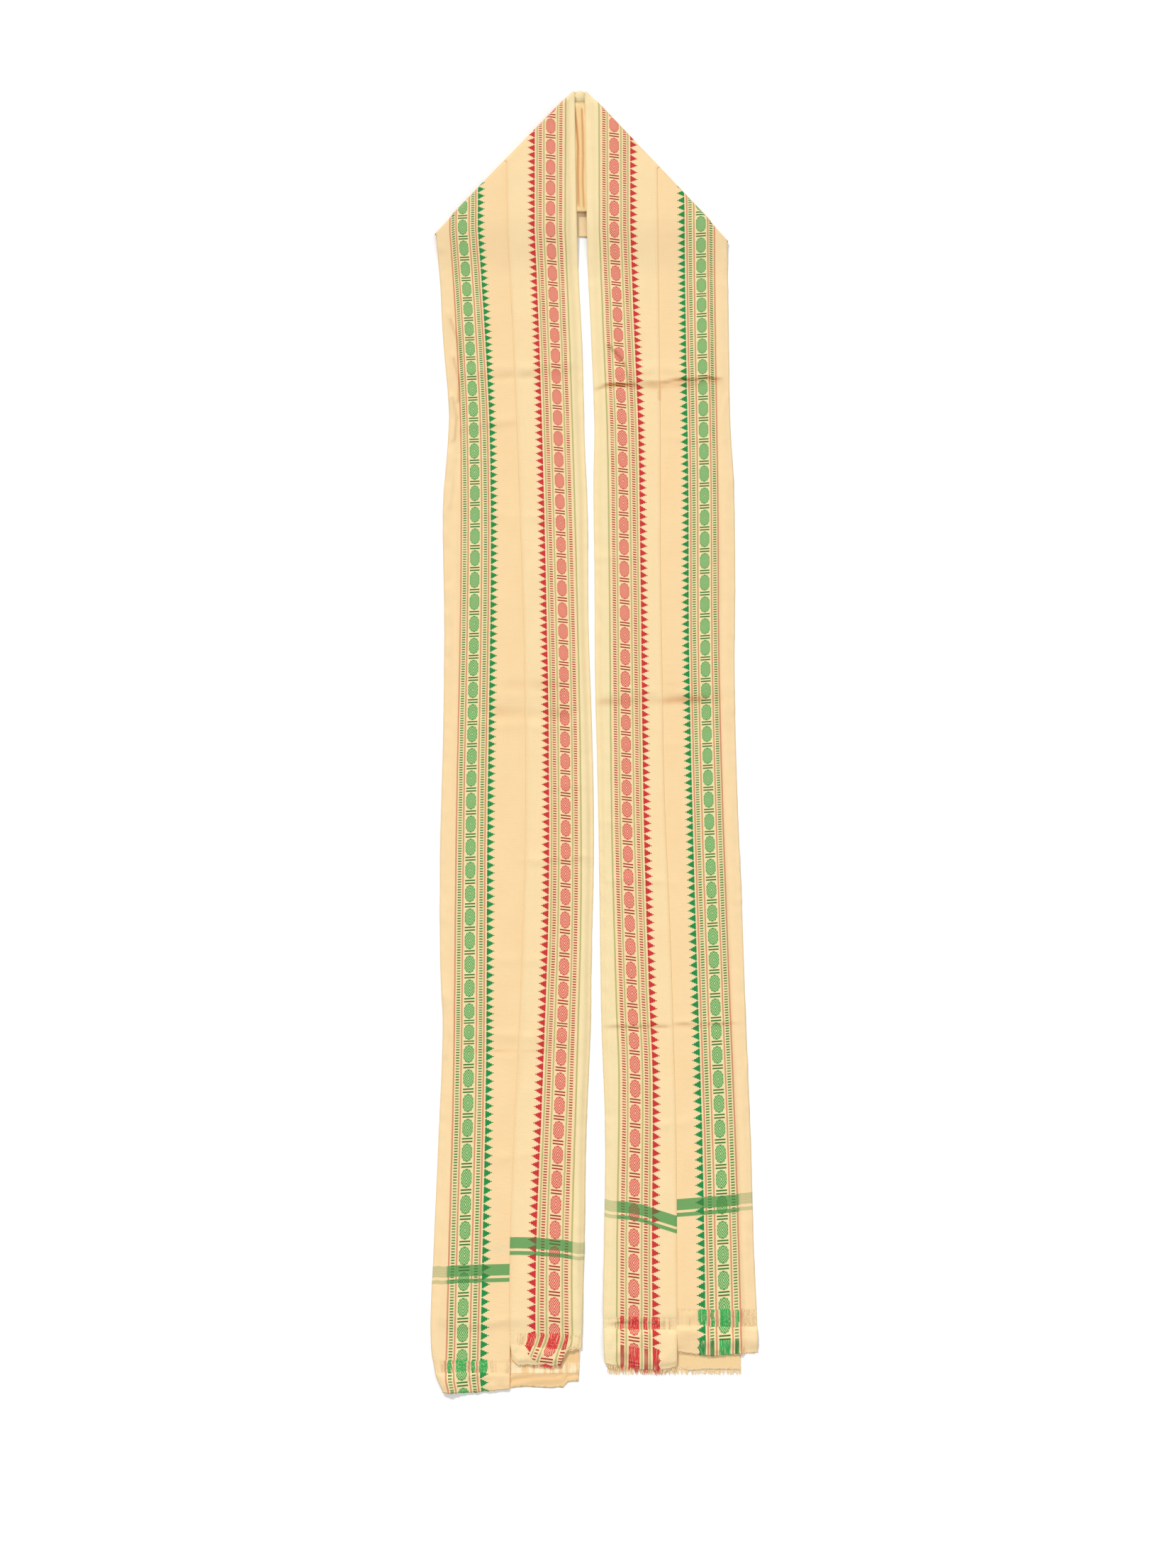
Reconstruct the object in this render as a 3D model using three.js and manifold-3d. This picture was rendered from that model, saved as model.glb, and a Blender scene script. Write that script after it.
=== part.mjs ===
// An uttariya: a long narrow woven stole, folded lengthwise into a strip and laid flat.
// The strip runs up the left side, folds back on a slant into a level neck band,
// folds forward on a second slant and runs down the right side.
// Millimetres, +Z up. The floor is z = 0, +Y points to the neck, and the origin is
// the middle of the outline.
//
// Layers of each strip, from the floor up: the cloth's plain middle with its two sides
// folded over it (hidden, one rounded solid), and on top two bordered panels that meet
// at the strip's midline. The green border lies outside, the red border inside.

import * as THREE from "three";
import Module from "manifold-3d";

// Thicknesses
const WALL = 1.0;
const HIDDEN_LAYER = 1.0;
const GAP = 0.3;

// Strips: x of the outer selvage, the midline and the inner selvage at each height y
const LEFT = {
  rows: [
    { y: 505, outer: -125.0, middle: -66.4, inner: -12.2 },
    { y: 385, outer: -122.4, middle: -64.6, inner: -10.2 },
    { y: 342, outer: -118.9, middle: -62.3, inner: -8.5 },
    { y: 296, outer: -116.1, middle: -59.8, inner: -6.2 },
    { y: 240, outer: -110.9, middle: -57.2, inner: -4.6 },
    { y: 210, outer: -111.6, middle: -55.8, inner: -3.9 },
    { y: 158, outer: -114.7, middle: -53.7, inner: -1.8 },
    { y: 68, outer: -112.7, middle: -50.5, inner: -1.0 },
    { y: -21, outer: -112.7, middle: -48.5, inner: 1.8 },
    { y: -108, outer: -113.9, middle: -48.4, inner: 3.0 },
    { y: -193, outer: -113.0, middle: -50.7, inner: 1.2 },
    { y: -242, outer: -110.5, middle: -52.2, inner: 0.6 },
    { y: -319, outer: -112.7, middle: -55.7, inner: -2.7 },
    { y: -401, outer: -115.5, middle: -58.1, inner: -4.0 },
    { y: -470, outer: -116.8, middle: -58.4, inner: -5.8 },
    { y: -505, outer: -109.6, middle: -58.3, inner: -6.6 },
  ],
  slant: { outer: { x: -122.4, y: 383.6 }, inner: { x: -12.2, y: 503.9 } },
  baseMargins: [
    { y: 505, outer: 17, inner: 9 },
    { y: 380, outer: 17, inner: 9 },
    { y: -416, outer: 9, inner: 5 },
    { y: -505, outer: 2, inner: 0.8 },
  ],
  baseEnd: -500.6,
  secondLayerEnd: -455,
  creases: [
    { y: 269, slope: 6, height: 0.7, spread: 6 },
    { y: 20, slope: -5, height: 0.6, spread: 6 },
    { y: -116, slope: 4, height: 0.5, spread: 7 },
    { y: -248, slope: -3, height: 0.7, spread: 7 },
  ],
};

const RIGHT = {
  rows: [
    { y: 505, outer: 108.0, middle: 52.6, inner: -4.2 },
    { y: 378, outer: 109.3, middle: 53.4, inner: -2.2 },
    { y: 342, outer: 109.8, middle: 53.8, inner: -1.1 },
    { y: 296, outer: 109.9, middle: 54.0, inner: 1.1 },
    { y: 226, outer: 110.5, middle: 54.5, inner: 3.6 },
    { y: 180, outer: 112.6, middle: 54.3, inner: 2.9 },
    { y: 112, outer: 113.0, middle: 54.0, inner: 3.6 },
    { y: 23, outer: 111.6, middle: 54.9, inner: 4.0 },
    { y: -65, outer: 112.7, middle: 56.0, inner: 6.2 },
    { y: -151, outer: 115.3, middle: 59.1, inner: 7.4 },
    { y: -236, outer: 117.2, middle: 61.5, inner: 8.6 },
    { y: -319, outer: 119.8, middle: 63.2, inner: 11.4 },
    { y: -401, outer: 121.2, middle: 63.3, inner: 10.4 },
    { y: -447, outer: 122.8, middle: 63.1, inner: 9.6 },
    { y: -490, outer: 123.6, middle: 62.8, inner: 10.9 },
  ],
  slant: { outer: { x: 109.3, y: 377.7 }, inner: { x: -4.2, y: 503.9 } },
  baseMargins: [
    { y: 505, outer: 17, inner: 9 },
    { y: 380, outer: 17, inner: 9 },
    { y: -416, outer: 13, inner: 4 },
    { y: -505, outer: 12.4, inner: 1.2 },
  ],
  baseEnd: -485.9,
  secondLayerEnd: -452,
  creases: [
    { y: 260, slope: -4, height: 1.3, spread: 6 },
    { y: 12, slope: 6, height: 0.7, spread: 7 },
    { y: -238, slope: 3, height: 0.8, spread: 6 },
  ],
};

// Lower ends of the top panels: y at each share t of the way from selvage to midline
const LEFT_GREEN_END = [{ t: 0, y: -503.6 }, { t: 0.4, y: -503.9 }, { t: 1, y: -501.6 }];
const LEFT_RED_END = [{ t: 0, y: -481.0 }, { t: 0.35, y: -481.4 }, { t: 0.75, y: -471.0 }, { t: 1, y: -469.0 }];
const RIGHT_RED_END = [{ t: 0, y: -471.4 }, { t: 0.8, y: -471.6 }, { t: 1, y: -470.2 }];
const RIGHT_GREEN_END = [{ t: 0, y: -471.9 }, { t: 1, y: -471.6 }];

// Neck band: y of its hidden layers' two folds, and how the strips climb over it
const BAND = { low: 400.8, high: 493.0, climbStart: 345, climbEnd: 396 };
const BAND_TOP_EDGE = 503.9;
const BAND_THICKNESS = WALL + GAP + 2 * HIDDEN_LAYER;
const BAND_CLEARANCE = BAND_THICKNESS + GAP;

// How a top panel steps down off the hidden layers to the floor, and off the second layer's end
const DROP = 5;
const LAYER_STEP = 6;

// How far a panel reaches round the slant onto the underside
const TONGUE = 3;

// Loft density: a panel's columns by distance in from the hidden layers' fold, then by share
const NEAR_FOLD = [-DROP, -0.4 * DROP, 0];
const ACROSS = [0.3, 0.65, 1];
const COLUMNS = [0, 1, 2, 3, 4, 5, 6];
const LEAST_COLUMN = 0.6;
const ROW_STEP = 42;
const SKEW_START = 340;
const SKEW_STEPS = 12;
const WRAP_STEPS = 7;

// Fringes: millimetres of edge for each strand, and the size of one strand
const STRAND = { pitch: 1.35, width: 0.8, height: 0.7, tip: 0.45, root: 0.6 };
const BACKING = 1.2;

const COLOURS = {
  greenPanel: 0xf8dfae,
  redPanel: 0xf6dcae,
  hidden: 0xe9cfa0,
  fringe: 0xf3e2bd,
};

const smooth = (share) => {
  const s = THREE.MathUtils.clamp(share, 0, 1);
  return s * s * (3 - 2 * s);
};

// A value from a table whose rows run up or down in `key`, on a smooth curve through them
function fromTable(rows, key, at, column) {
  const falling = rows[0][key] > rows[rows.length - 1][key];
  const r = falling ? [...rows].reverse() : rows;
  if (at <= r[0][key]) return r[0][column];
  if (at >= r[r.length - 1][key]) return r[r.length - 1][column];
  let i = 0;
  while (at > r[i + 1][key]) i += 1;
  const slopeAt = (j) => {
    const a = r[Math.max(j - 1, 0)];
    const b = r[Math.min(j + 1, r.length - 1)];
    return (b[column] - a[column]) / (b[key] - a[key]);
  };
  const span = r[i + 1][key] - r[i][key];
  const u = (at - r[i][key]) / span;
  const u2 = u * u;
  const u3 = u2 * u;
  return (2 * u3 - 3 * u2 + 1) * r[i][column] + (u3 - 2 * u2 + u) * span * slopeAt(i)
    + (3 * u2 - 2 * u3) * r[i + 1][column] + (u3 - u2) * span * slopeAt(i + 1);
}

const straight = (rows, key, at, column) => {
  const r = rows[0][key] > rows[rows.length - 1][key] ? [...rows].reverse() : rows;
  if (at <= r[0][key]) return r[0][column];
  for (let i = 1; i < r.length; i += 1) {
    if (at <= r[i][key]) {
      const u = (at - r[i - 1][key]) / (r[i][key] - r[i - 1][key]);
      return THREE.MathUtils.lerp(r[i - 1][column], r[i][column], u);
    }
  }
  return r[r.length - 1][column];
};

// Height of whatever the strip lies on: the floor, or the neck band
const lift = (y) => BAND_CLEARANCE * smooth((y - BAND.climbStart) / (BAND.climbEnd - BAND.climbStart));

const baseEdge = (strip, edge, y) => {
  const selvage = fromTable(strip.rows, "y", y, edge);
  const inward = Math.sign(fromTable(strip.rows, "y", y, "middle") - selvage);
  return selvage + inward * straight(strip.baseMargins, "y", y, edge);
};

// Distance in from a panel's selvage of its column i, and the panel's width there
function columnIn(strip, edge, i, y) {
  const selvage = fromTable(strip.rows, "y", y, edge);
  const width = Math.abs(fromTable(strip.rows, "y", y, "middle") - selvage) - GAP / 2;
  const margin = straight(strip.baseMargins, "y", y, edge);
  const near = NEAR_FOLD.map((d, j) => Math.max(margin + d, LEAST_COLUMN * (j + 1)));
  const first = near[near.length - 1];
  const stops = [0, ...near, ...ACROSS.map((share) => THREE.MathUtils.lerp(first, width, share))];
  return { inside: stops[i], width, selvage };
}

function panelX(strip, edge, i, y) {
  const { inside, selvage } = columnIn(strip, edge, i, y);
  return selvage + Math.sign(fromTable(strip.rows, "y", y, "middle") - selvage) * inside;
}

// Share of the way from the selvage to the midline
const columnShare = (strip, edge, i, y) => {
  const { inside, width } = columnIn(strip, edge, i, y);
  return inside / width;
};

const creaseHeight = (strip, x, y) => strip.creases.reduce((sum, c) => {
  const middle = fromTable(strip.rows, "y", y, "middle");
  const off = (y - c.y - c.slope * (x - middle) / 55) / c.spread;
  return sum + c.height * Math.exp(-off * off);
}, 0);

// Height of a top panel's lower face over what the strip lies on
function panelRest(strip, edge, i, y) {
  const x = panelX(strip, edge, i, y);
  const inward = Math.sign(fromTable(strip.rows, "y", y, "middle") - fromTable(strip.rows, "y", y, edge));
  const inside = (x - baseEdge(strip, edge, y)) * inward;
  const onBase = smooth((inside + DROP) / DROP);
  const layers = 1 + smooth((y - strip.secondLayerEnd + LAYER_STEP) / (2 * LAYER_STEP));
  return (layers * HIDDEN_LAYER + GAP + creaseHeight(strip, x, y)) * onBase;
}

// The slanted fold: distance of a point past the fold's visible edge, and its outward direction
function slantFrame(strip) {
  const a = new THREE.Vector2(strip.slant.outer.x, strip.slant.outer.y);
  const b = new THREE.Vector2(strip.slant.inner.x, strip.slant.inner.y);
  const along = b.clone().sub(a).normalize();
  const out = new THREE.Vector2(-along.y, along.x);
  if (out.y < 0) out.negate();
  return { a, out, past: (x, y) => new THREE.Vector2(x, y).sub(a).dot(out) };
}

// Where a lengthwise line of the strip meets the axis of the slanted fold
function meetSlant(strip, xAt, radiusAt) {
  const { past } = slantFrame(strip);
  let low = 300;
  let high = 520;
  for (let i = 0; i < 40; i += 1) {
    const y = (low + high) / 2;
    if (past(xAt(y), y) + radiusAt(y) > 0) high = y;
    else low = y;
  }
  return { x: xAt(low), y: low, radius: radiusAt(low) };
}

const panelSlant = (strip, edge, i) => meetSlant(
  strip,
  (y) => panelX(strip, edge, i, y),
  (y) => (lift(y) + panelRest(strip, edge, i, y) + WALL) / 2,
);

// A closed wall between an outer and an inner grid of points, both indexed [row][column]
function wall(outer, inner) {
  const rows = outer.length;
  const columns = outer[0].length;
  const points = [...outer.flat(), ...inner.flat()];
  const top = (k, i) => k * columns + i;
  const low = (k, i) => (rows + k) * columns + i;
  const faces = [];
  const quad = (a, b, c, d) => faces.push(a, b, c, a, c, d);
  for (let k = 0; k < rows - 1; k += 1) {
    for (let i = 0; i < columns - 1; i += 1) {
      quad(top(k, i), top(k, i + 1), top(k + 1, i + 1), top(k + 1, i));
      quad(low(k, i), low(k + 1, i), low(k + 1, i + 1), low(k, i + 1));
    }
    const e = columns - 1;
    quad(top(k, 0), top(k + 1, 0), low(k + 1, 0), low(k, 0));
    quad(top(k, e), low(k, e), low(k + 1, e), top(k + 1, e));
  }
  for (let i = 0; i < columns - 1; i += 1) {
    const e = rows - 1;
    quad(top(0, i), low(0, i), low(0, i + 1), top(0, i + 1));
    quad(top(e, i), top(e, i + 1), low(e, i + 1), low(e, i));
  }
  let volume = 0;
  for (let f = 0; f < faces.length; f += 3) {
    const [a, b, c] = [points[faces[f]], points[faces[f + 1]], points[faces[f + 2]]];
    volume += a.dot(b.clone().cross(c));
  }
  if (volume < 0) faces.reverse();
  const geometry = new THREE.BufferGeometry();
  geometry.setAttribute("position", new THREE.Float32BufferAttribute(points.flatMap((p) => p.toArray()), 3));
  geometry.setIndex(faces);
  geometry.computeVertexNormals();
  return geometry;
}

// Heights at which both a panel and the hidden layers get a row of points, from below up
function sharedRows(above) {
  const rows = [];
  for (let y = SKEW_START; y > above; y -= ROW_STEP) rows.unshift(y);
  return rows;
}

// A panel's rows, from its end up to the slanted part
function panelRows(strip, end) {
  const stepRows = [-1, 0, 1].map((side) => strip.secondLayerEnd + side * LAYER_STEP);
  const creaseRows = strip.creases.flatMap((c) => [-1.6, 0, 1.6].map((m) => c.y + m * c.spread));
  const own = [end, ...stepRows, ...creaseRows];
  const apart = (y) => own.every((row) => Math.abs(y - row) > LAYER_STEP / 2);
  return [...own, ...sharedRows(end).filter(apart)].sort((a, b) => a - b);
}

// A top panel, from its lower end to the slanted fold and round it to the underside
function topPanel(strip, edge, endTable) {
  const endAt = (t) => straight(endTable, "t", t, "y");
  const lowest = endAt(0.5);
  const lowerRows = panelRows(strip, lowest);
  const { out } = slantFrame(strip);
  const outer = [];
  const inner = [];
  const addRow = (yAt) => {
    const make = (extra) => COLUMNS.map((i) => {
      const y = yAt(i);
      return new THREE.Vector3(panelX(strip, edge, i, y), y, lift(y) + panelRest(strip, edge, i, y) + extra);
    });
    outer.push(make(WALL));
    inner.push(make(0));
  };
  // Rows near the end follow the end's own line
  lowerRows.forEach((row) => {
    const follow = 1 - smooth((row - lowest) / 60);
    addRow((i) => row + follow * (endAt(columnShare(strip, edge, i, row)) - lowest));
  });
  for (let k = 1; k <= SKEW_STEPS; k += 1) {
    addRow((i) => THREE.MathUtils.lerp(SKEW_START, panelSlant(strip, edge, i).y, k / SKEW_STEPS));
  }
  for (let k = 1; k <= WRAP_STEPS + 1; k += 1) {
    const angle = Math.PI * Math.min(k / WRAP_STEPS, 1);
    const back = k > WRAP_STEPS ? TONGUE : 0;
    const make = (thinner) => COLUMNS.map((i) => {
      const m = panelSlant(strip, edge, i);
      const reach = (m.radius - thinner) * Math.sin(angle) - back;
      const z = m.radius + (m.radius - thinner) * Math.cos(angle);
      return new THREE.Vector3(m.x + out.x * reach, m.y + out.y * reach, z);
    });
    outer.push(make(0));
    inner.push(make(WALL));
  }
  return wall(outer, inner);
}

// Columns across the hidden layers, close together at their rounded folds
const ROUND = [0, 0.12, 0.5, 1.2];
const hiddenShares = (width) => [
  ...ROUND.map((d) => d / width), 0.35, 0.65, ...[...ROUND].reverse().map((d) => 1 - d / width),
];

// Half thickness at distance d in from a rounded fold of the given full thickness
const MIN_HALF = 0.12;
function roundedHalf(d, thickness) {
  const r = thickness / 2;
  const into = Math.min(d, r);
  return Math.max(MIN_HALF, Math.sqrt(Math.max(r * r - (r - into) ** 2, 0)));
}

// The strip's hidden layers: flat below, round at both folds, stepped at the lower end
function underlayers(strip) {
  const { out } = slantFrame(strip);
  const outer = [];
  const inner = [];
  const full = 2 * HIDDEN_LAYER;
  const edgesAt = (y) => [baseEdge(strip, "outer", y), baseEdge(strip, "inner", y)];
  const xAt = (s, y) => THREE.MathUtils.lerp(...edgesAt(y), s);
  const axisRadius = BAND_THICKNESS + GAP / 2;
  const slantAt = (s) => meetSlant(strip, (y) => xAt(s, y), () => axisRadius);
  const addRow = (yAt, thickness, past, squeeze) => {
    const shares = hiddenShares(94);
    const points = shares.map((s) => {
      const y = yAt(s);
      const [a, b] = edgesAt(y);
      const width = Math.abs(b - a);
      const half = roundedHalf(Math.min(s, 1 - s) * width, thickness);
      return { x: xAt(s, y) + out.x * past, y: y + out.y * past, half, base: lift(y) };
    });
    outer.push(points.map((p) => new THREE.Vector3(p.x, p.y, p.base + (thickness / 2 + p.half) * squeeze)));
    inner.push(points.map((p) => new THREE.Vector3(p.x, p.y, p.base + (thickness / 2 - p.half) * squeeze)));
  };
  const STEP = 0.25;
  const stepY = strip.secondLayerEnd + LAYER_STEP;
  addRow(() => strip.baseEnd, HIDDEN_LAYER, 0, 1);
  addRow(() => (strip.baseEnd + stepY) / 2, HIDDEN_LAYER, 0, 1);
  addRow(() => stepY, HIDDEN_LAYER, 0, 1);
  [stepY + STEP, ...sharedRows(stepY + 1)].forEach((y) => addRow(() => y, full, 0, 1));
  for (let k = 1; k <= SKEW_STEPS; k += 1) {
    addRow((s) => THREE.MathUtils.lerp(SKEW_START, slantAt(s).y, k / SKEW_STEPS), full, 0, 1);
  }
  [0.5, 0.8, 0.95].forEach((share) => {
    addRow((s) => slantAt(s).y, full, share * full, Math.sqrt(1 - share * share));
  });
  return wall(outer, inner);
}

// A stretch of the neck on the underside, from one slanted fold to the other. Between the
// folds its selvage runs level with the slants' own corners.
function neckPanel(edge) {
  const NECK_STEPS = 10;
  const cornerY = (u) => THREE.MathUtils.lerp(LEFT.slant.outer.y, RIGHT.slant.outer.y, u);
  const selvageY = (u) => (edge === "inner" ? BAND_TOP_EDGE : cornerY(u));
  const ends = [LEFT, RIGHT].map((strip) => {
    const { out } = slantFrame(strip);
    return COLUMNS.map((i) => {
      const m = panelSlant(strip, edge, i);
      return { x: m.x - out.x * (TONGUE + GAP), y: m.y - out.y * (TONGUE + GAP) };
    });
  });
  const rowsAt = (z) => Array.from({ length: NECK_STEPS + 1 }, (_, k) => COLUMNS.map((i) => {
    const u = k / NECK_STEPS;
    const x = THREE.MathUtils.lerp(ends[0][i].x, ends[1][i].x, u);
    const y = THREE.MathUtils.lerp(ends[0][i].y, ends[1][i].y, u);
    const toEdge = i === 0 ? selvageY(u) - y : 0;
    return new THREE.Vector3(x, y + toEdge * Math.min(1, 6 * Math.min(u, 1 - u)), z);
  }));
  return wall(rowsAt(WALL), rowsAt(0));
}

// The neck band's hidden layers, with the wrong side of the cloth's middle on top
function neckUnderlayers() {
  const NECK_STEPS = 8;
  const full = 2 * HIDDEN_LAYER;
  const base = WALL + GAP;
  const axisRadius = BAND_THICKNESS + GAP / 2;
  const outer = [];
  const inner = [];
  const yAt = (s) => THREE.MathUtils.lerp(BAND.low, BAND.high, s);
  const xOn = (strip, y) => {
    const { a, out } = slantFrame(strip);
    return a.x + (-axisRadius - (y - a.y) * out.y) / out.x;
  };
  const shares = hiddenShares(BAND.high - BAND.low);
  const addRow = (xAt, shift, depth) => {
    const make = (side) => shares.map((s) => {
      const y = yAt(s);
      const half = roundedHalf(Math.min(s, 1 - s) * (BAND.high - BAND.low), full);
      const z = base + full - depth * (full - (full / 2 + side * half));
      return new THREE.Vector3(xAt(y) + shift.x, y + shift.y, z);
    });
    outer.push(make(1));
    inner.push(make(-1));
  };
  const rounding = [0.95, 0.8, 0.5];
  const outLeft = slantFrame(LEFT).out;
  const outRight = slantFrame(RIGHT).out;
  rounding.forEach((share) => {
    addRow((y) => xOn(LEFT, y), outLeft.clone().multiplyScalar(share * full), Math.sqrt(1 - share * share));
  });
  for (let k = 0; k <= NECK_STEPS; k += 1) {
    addRow((y) => THREE.MathUtils.lerp(xOn(LEFT, y), xOn(RIGHT, y), k / NECK_STEPS), { x: 0, y: 0 }, 1);
  }
  [...rounding].reverse().forEach((share) => {
    addRow((y) => xOn(RIGHT, y), outRight.clone().multiplyScalar(share * full), Math.sqrt(1 - share * share));
  });
  return wall(outer, inner);
}

// One strand: three sides, rooted in its backing and lying down towards its tip
function strand(root, tip) {
  const ring = (p, size) => [[-0.5, 0], [0.5, 0], [0, 1]].map(([across, up]) => (
    new THREE.Vector3(p.x + across * STRAND.width * size, p.y, p.z + up * STRAND.height * size)
  ));
  const bend = root.clone().lerp(tip, 0.45).setZ(root.z * 0.35 + tip.z * 0.65);
  const rings = [ring(root, 1), ring(bend, 0.9), ring(tip, STRAND.tip)];
  const points = rings.flat();
  const faces = [0, 1, 2, 6, 8, 7];
  for (let k = 0; k < 2; k += 1) {
    for (let i = 0; i < 3; i += 1) {
      const [a, b] = [k * 3 + i, k * 3 + (i + 1) % 3];
      faces.push(a, a + 3, b, b, a + 3, b + 3);
    }
  }
  return { points, faces };
}

const wasm = await Module();
wasm.setup();

function toManifold({ points, faces }) {
  let volume = 0;
  for (let f = 0; f < faces.length; f += 3) {
    volume += points[faces[f]].dot(points[faces[f + 1]].clone().cross(points[faces[f + 2]]));
  }
  const triVerts = new Uint32Array(volume < 0 ? [...faces].reverse() : faces);
  const vertProperties = new Float32Array(points.flatMap((p) => p.toArray()));
  return new wasm.Manifold(new wasm.Mesh({ numProp: 3, vertProperties, triVerts }));
}

// A repeatable uneven number from 0 to 1
const uneven = (seed) => {
  const s = Math.sin(seed * 12.9898) * 43758.5453;
  return s - Math.floor(s);
};

// A fringe: a narrow backing beside the cloth's cut end, with strands standing apart
function fringe({ from, to, length, rootZ, tipZ, seed, seat }) {
  const width = Math.abs(to.x - from.x);
  const count = Math.floor(width / STRAND.pitch);
  const endY = (x) => THREE.MathUtils.lerp(from.y, to.y, (x - from.x) / (to.x - from.x)) - GAP;
  const corners = [];
  [rootZ, rootZ + WALL].forEach((z) => {
    [from.x, to.x].forEach((x) => {
      corners.push(new THREE.Vector3(x, endY(x), z), new THREE.Vector3(x, endY(x) - BACKING, z));
    });
  });
  const box = [0, 1, 3, 0, 3, 2, 4, 6, 7, 4, 7, 5, 0, 4, 5, 0, 5, 1, 2, 3, 7, 2, 7, 6, 0, 2, 6, 0, 6, 4, 1, 5, 7, 1, 7, 3];
  let solid = toManifold({ points: corners, faces: box });
  for (let i = 0; i < count; i += 1) {
    const x = Math.min(from.x, to.x) + (i + 0.5) * width / count;
    const lean = (uneven(seed + i) - 0.5) * 1.1;
    const reach = length * (0.78 + 0.22 * uneven(seed + 3 * i + 7));
    const root = new THREE.Vector3(x, endY(x) - BACKING + STRAND.root, rootZ + 0.12);
    const tip = new THREE.Vector3(x + lean * 0.45, endY(x) - reach, seat ? seat(x, tipZ) : tipZ);
    solid = solid.add(toManifold(strand(root, tip)));
  }
  const mesh = solid.getMesh();
  const geometry = new THREE.BufferGeometry();
  geometry.setAttribute("position", new THREE.BufferAttribute(mesh.vertProperties, 3));
  geometry.setIndex(new THREE.BufferAttribute(mesh.triVerts, 1));
  geometry.computeVertexNormals();
  return geometry;
}

const garment = new THREE.Group();

function add(name, geometry, colour, roughness = 0.85) {
  const mesh = new THREE.Mesh(geometry, new THREE.MeshStandardMaterial({ color: colour, roughness, metalness: 0 }));
  mesh.name = name;
  garment.add(mesh);
}

// Panels that show, one for each stretch and border
add("left_green_panel", topPanel(LEFT, "outer", LEFT_GREEN_END), COLOURS.greenPanel);
add("left_red_panel", topPanel(LEFT, "inner", LEFT_RED_END), COLOURS.redPanel);
add("right_red_panel", topPanel(RIGHT, "inner", RIGHT_RED_END), COLOURS.redPanel);
add("right_green_panel", topPanel(RIGHT, "outer", RIGHT_GREEN_END), COLOURS.greenPanel);

// The neck, and the hidden layers
add("neck_green_panel", neckPanel("outer"), COLOURS.greenPanel);
add("neck_red_panel", neckPanel("inner"), COLOURS.redPanel);
add("neck_underlayers", neckUnderlayers(), COLOURS.hidden);
add("left_underlayers", underlayers(LEFT), COLOURS.hidden);
add("right_underlayers", underlayers(RIGHT), COLOURS.hidden);

// Fringes on the cut ends
const ON_BASE = HIDDEN_LAYER + GAP;
add("right_red_fringe", fringe({
  from: { x: 12.5, y: -471.4 }, to: { x: 61.5, y: -471.6 }, length: 13.4, rootZ: ON_BASE + 0.1, tipZ: ON_BASE, seed: 1,
}), COLOURS.fringe);
add("right_green_fringe", fringe({
  from: { x: 64.5, y: -471.6 }, to: { x: 108.5, y: -471.9 }, length: 5.6, rootZ: ON_BASE + 0.1, tipZ: ON_BASE, seed: 2,
}), COLOURS.fringe);
add("right_base_fringe", fringe({
  from: { x: 13.5, y: -485.9 }, to: { x: 109.0, y: -485.9 }, length: 6.0, rootZ: 0, tipZ: 0.08, seed: 3,
}), COLOURS.fringe);
add("left_red_fringe", fringe({
  from: { x: -26.0, y: -482.2 }, to: { x: -8.0, y: -481.2 }, length: 4.6, rootZ: ON_BASE + 0.1, tipZ: ON_BASE, seed: 4,
}), COLOURS.fringe);

export default garment;
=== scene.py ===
"""An uttariya: a long narrow woven stole, folded lengthwise into a strip and laid flat.

The strip runs up the left side, folds back on a slant into the neck, folds forward again
and runs down the right side. Lengths here are in millimetres, and mesh points are turned
into metres as they are made. The tables of the two strips repeat the solids' own.
"""

import math

import bpy
import numpy as np
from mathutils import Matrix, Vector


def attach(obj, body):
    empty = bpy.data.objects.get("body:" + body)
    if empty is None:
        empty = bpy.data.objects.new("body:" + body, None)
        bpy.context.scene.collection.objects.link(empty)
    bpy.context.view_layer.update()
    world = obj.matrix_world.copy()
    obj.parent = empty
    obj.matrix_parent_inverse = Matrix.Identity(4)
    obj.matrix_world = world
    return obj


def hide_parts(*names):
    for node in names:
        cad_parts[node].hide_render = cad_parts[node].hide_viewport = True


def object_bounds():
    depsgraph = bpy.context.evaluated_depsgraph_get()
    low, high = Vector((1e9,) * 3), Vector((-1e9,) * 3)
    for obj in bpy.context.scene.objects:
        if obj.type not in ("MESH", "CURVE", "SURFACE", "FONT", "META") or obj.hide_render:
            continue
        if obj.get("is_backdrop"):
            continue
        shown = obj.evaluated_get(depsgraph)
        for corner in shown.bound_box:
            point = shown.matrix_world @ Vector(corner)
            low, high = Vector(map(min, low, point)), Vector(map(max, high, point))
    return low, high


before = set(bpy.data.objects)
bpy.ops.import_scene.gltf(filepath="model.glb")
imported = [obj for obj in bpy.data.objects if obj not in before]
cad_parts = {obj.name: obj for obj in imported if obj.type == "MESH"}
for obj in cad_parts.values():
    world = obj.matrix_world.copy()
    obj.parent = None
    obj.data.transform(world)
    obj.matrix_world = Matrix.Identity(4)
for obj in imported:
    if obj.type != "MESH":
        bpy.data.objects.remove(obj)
CAD_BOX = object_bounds()

MM = 0.001
BODY = "root"

# Thicknesses and heights, as in the solids
SHEET = 0.4
WALL = 1.0
LAYER = 1.0
GAP = 0.3
BAND_LOW, BAND_HIGH, BAND_TOP = 400.8, 493.0, 503.9
BAND_HEIGHT = WALL + GAP + 2 * LAYER
CLIMB_START, CLIMB_END = 345, 396
DROP = 5
LAYER_STEP = 6
TONGUE = 3
HALF_STRIP = 55

# The shells' grids: columns of a panel, its rows' step, its rows round a slant, and the y below
# which rows follow the cut end and above which they follow the slant
COLUMNS, ROW_STEP, WRAP_ROWS = 40, 2.0, 16
END_ZONE, SKEW_START = -436, 340

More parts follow.
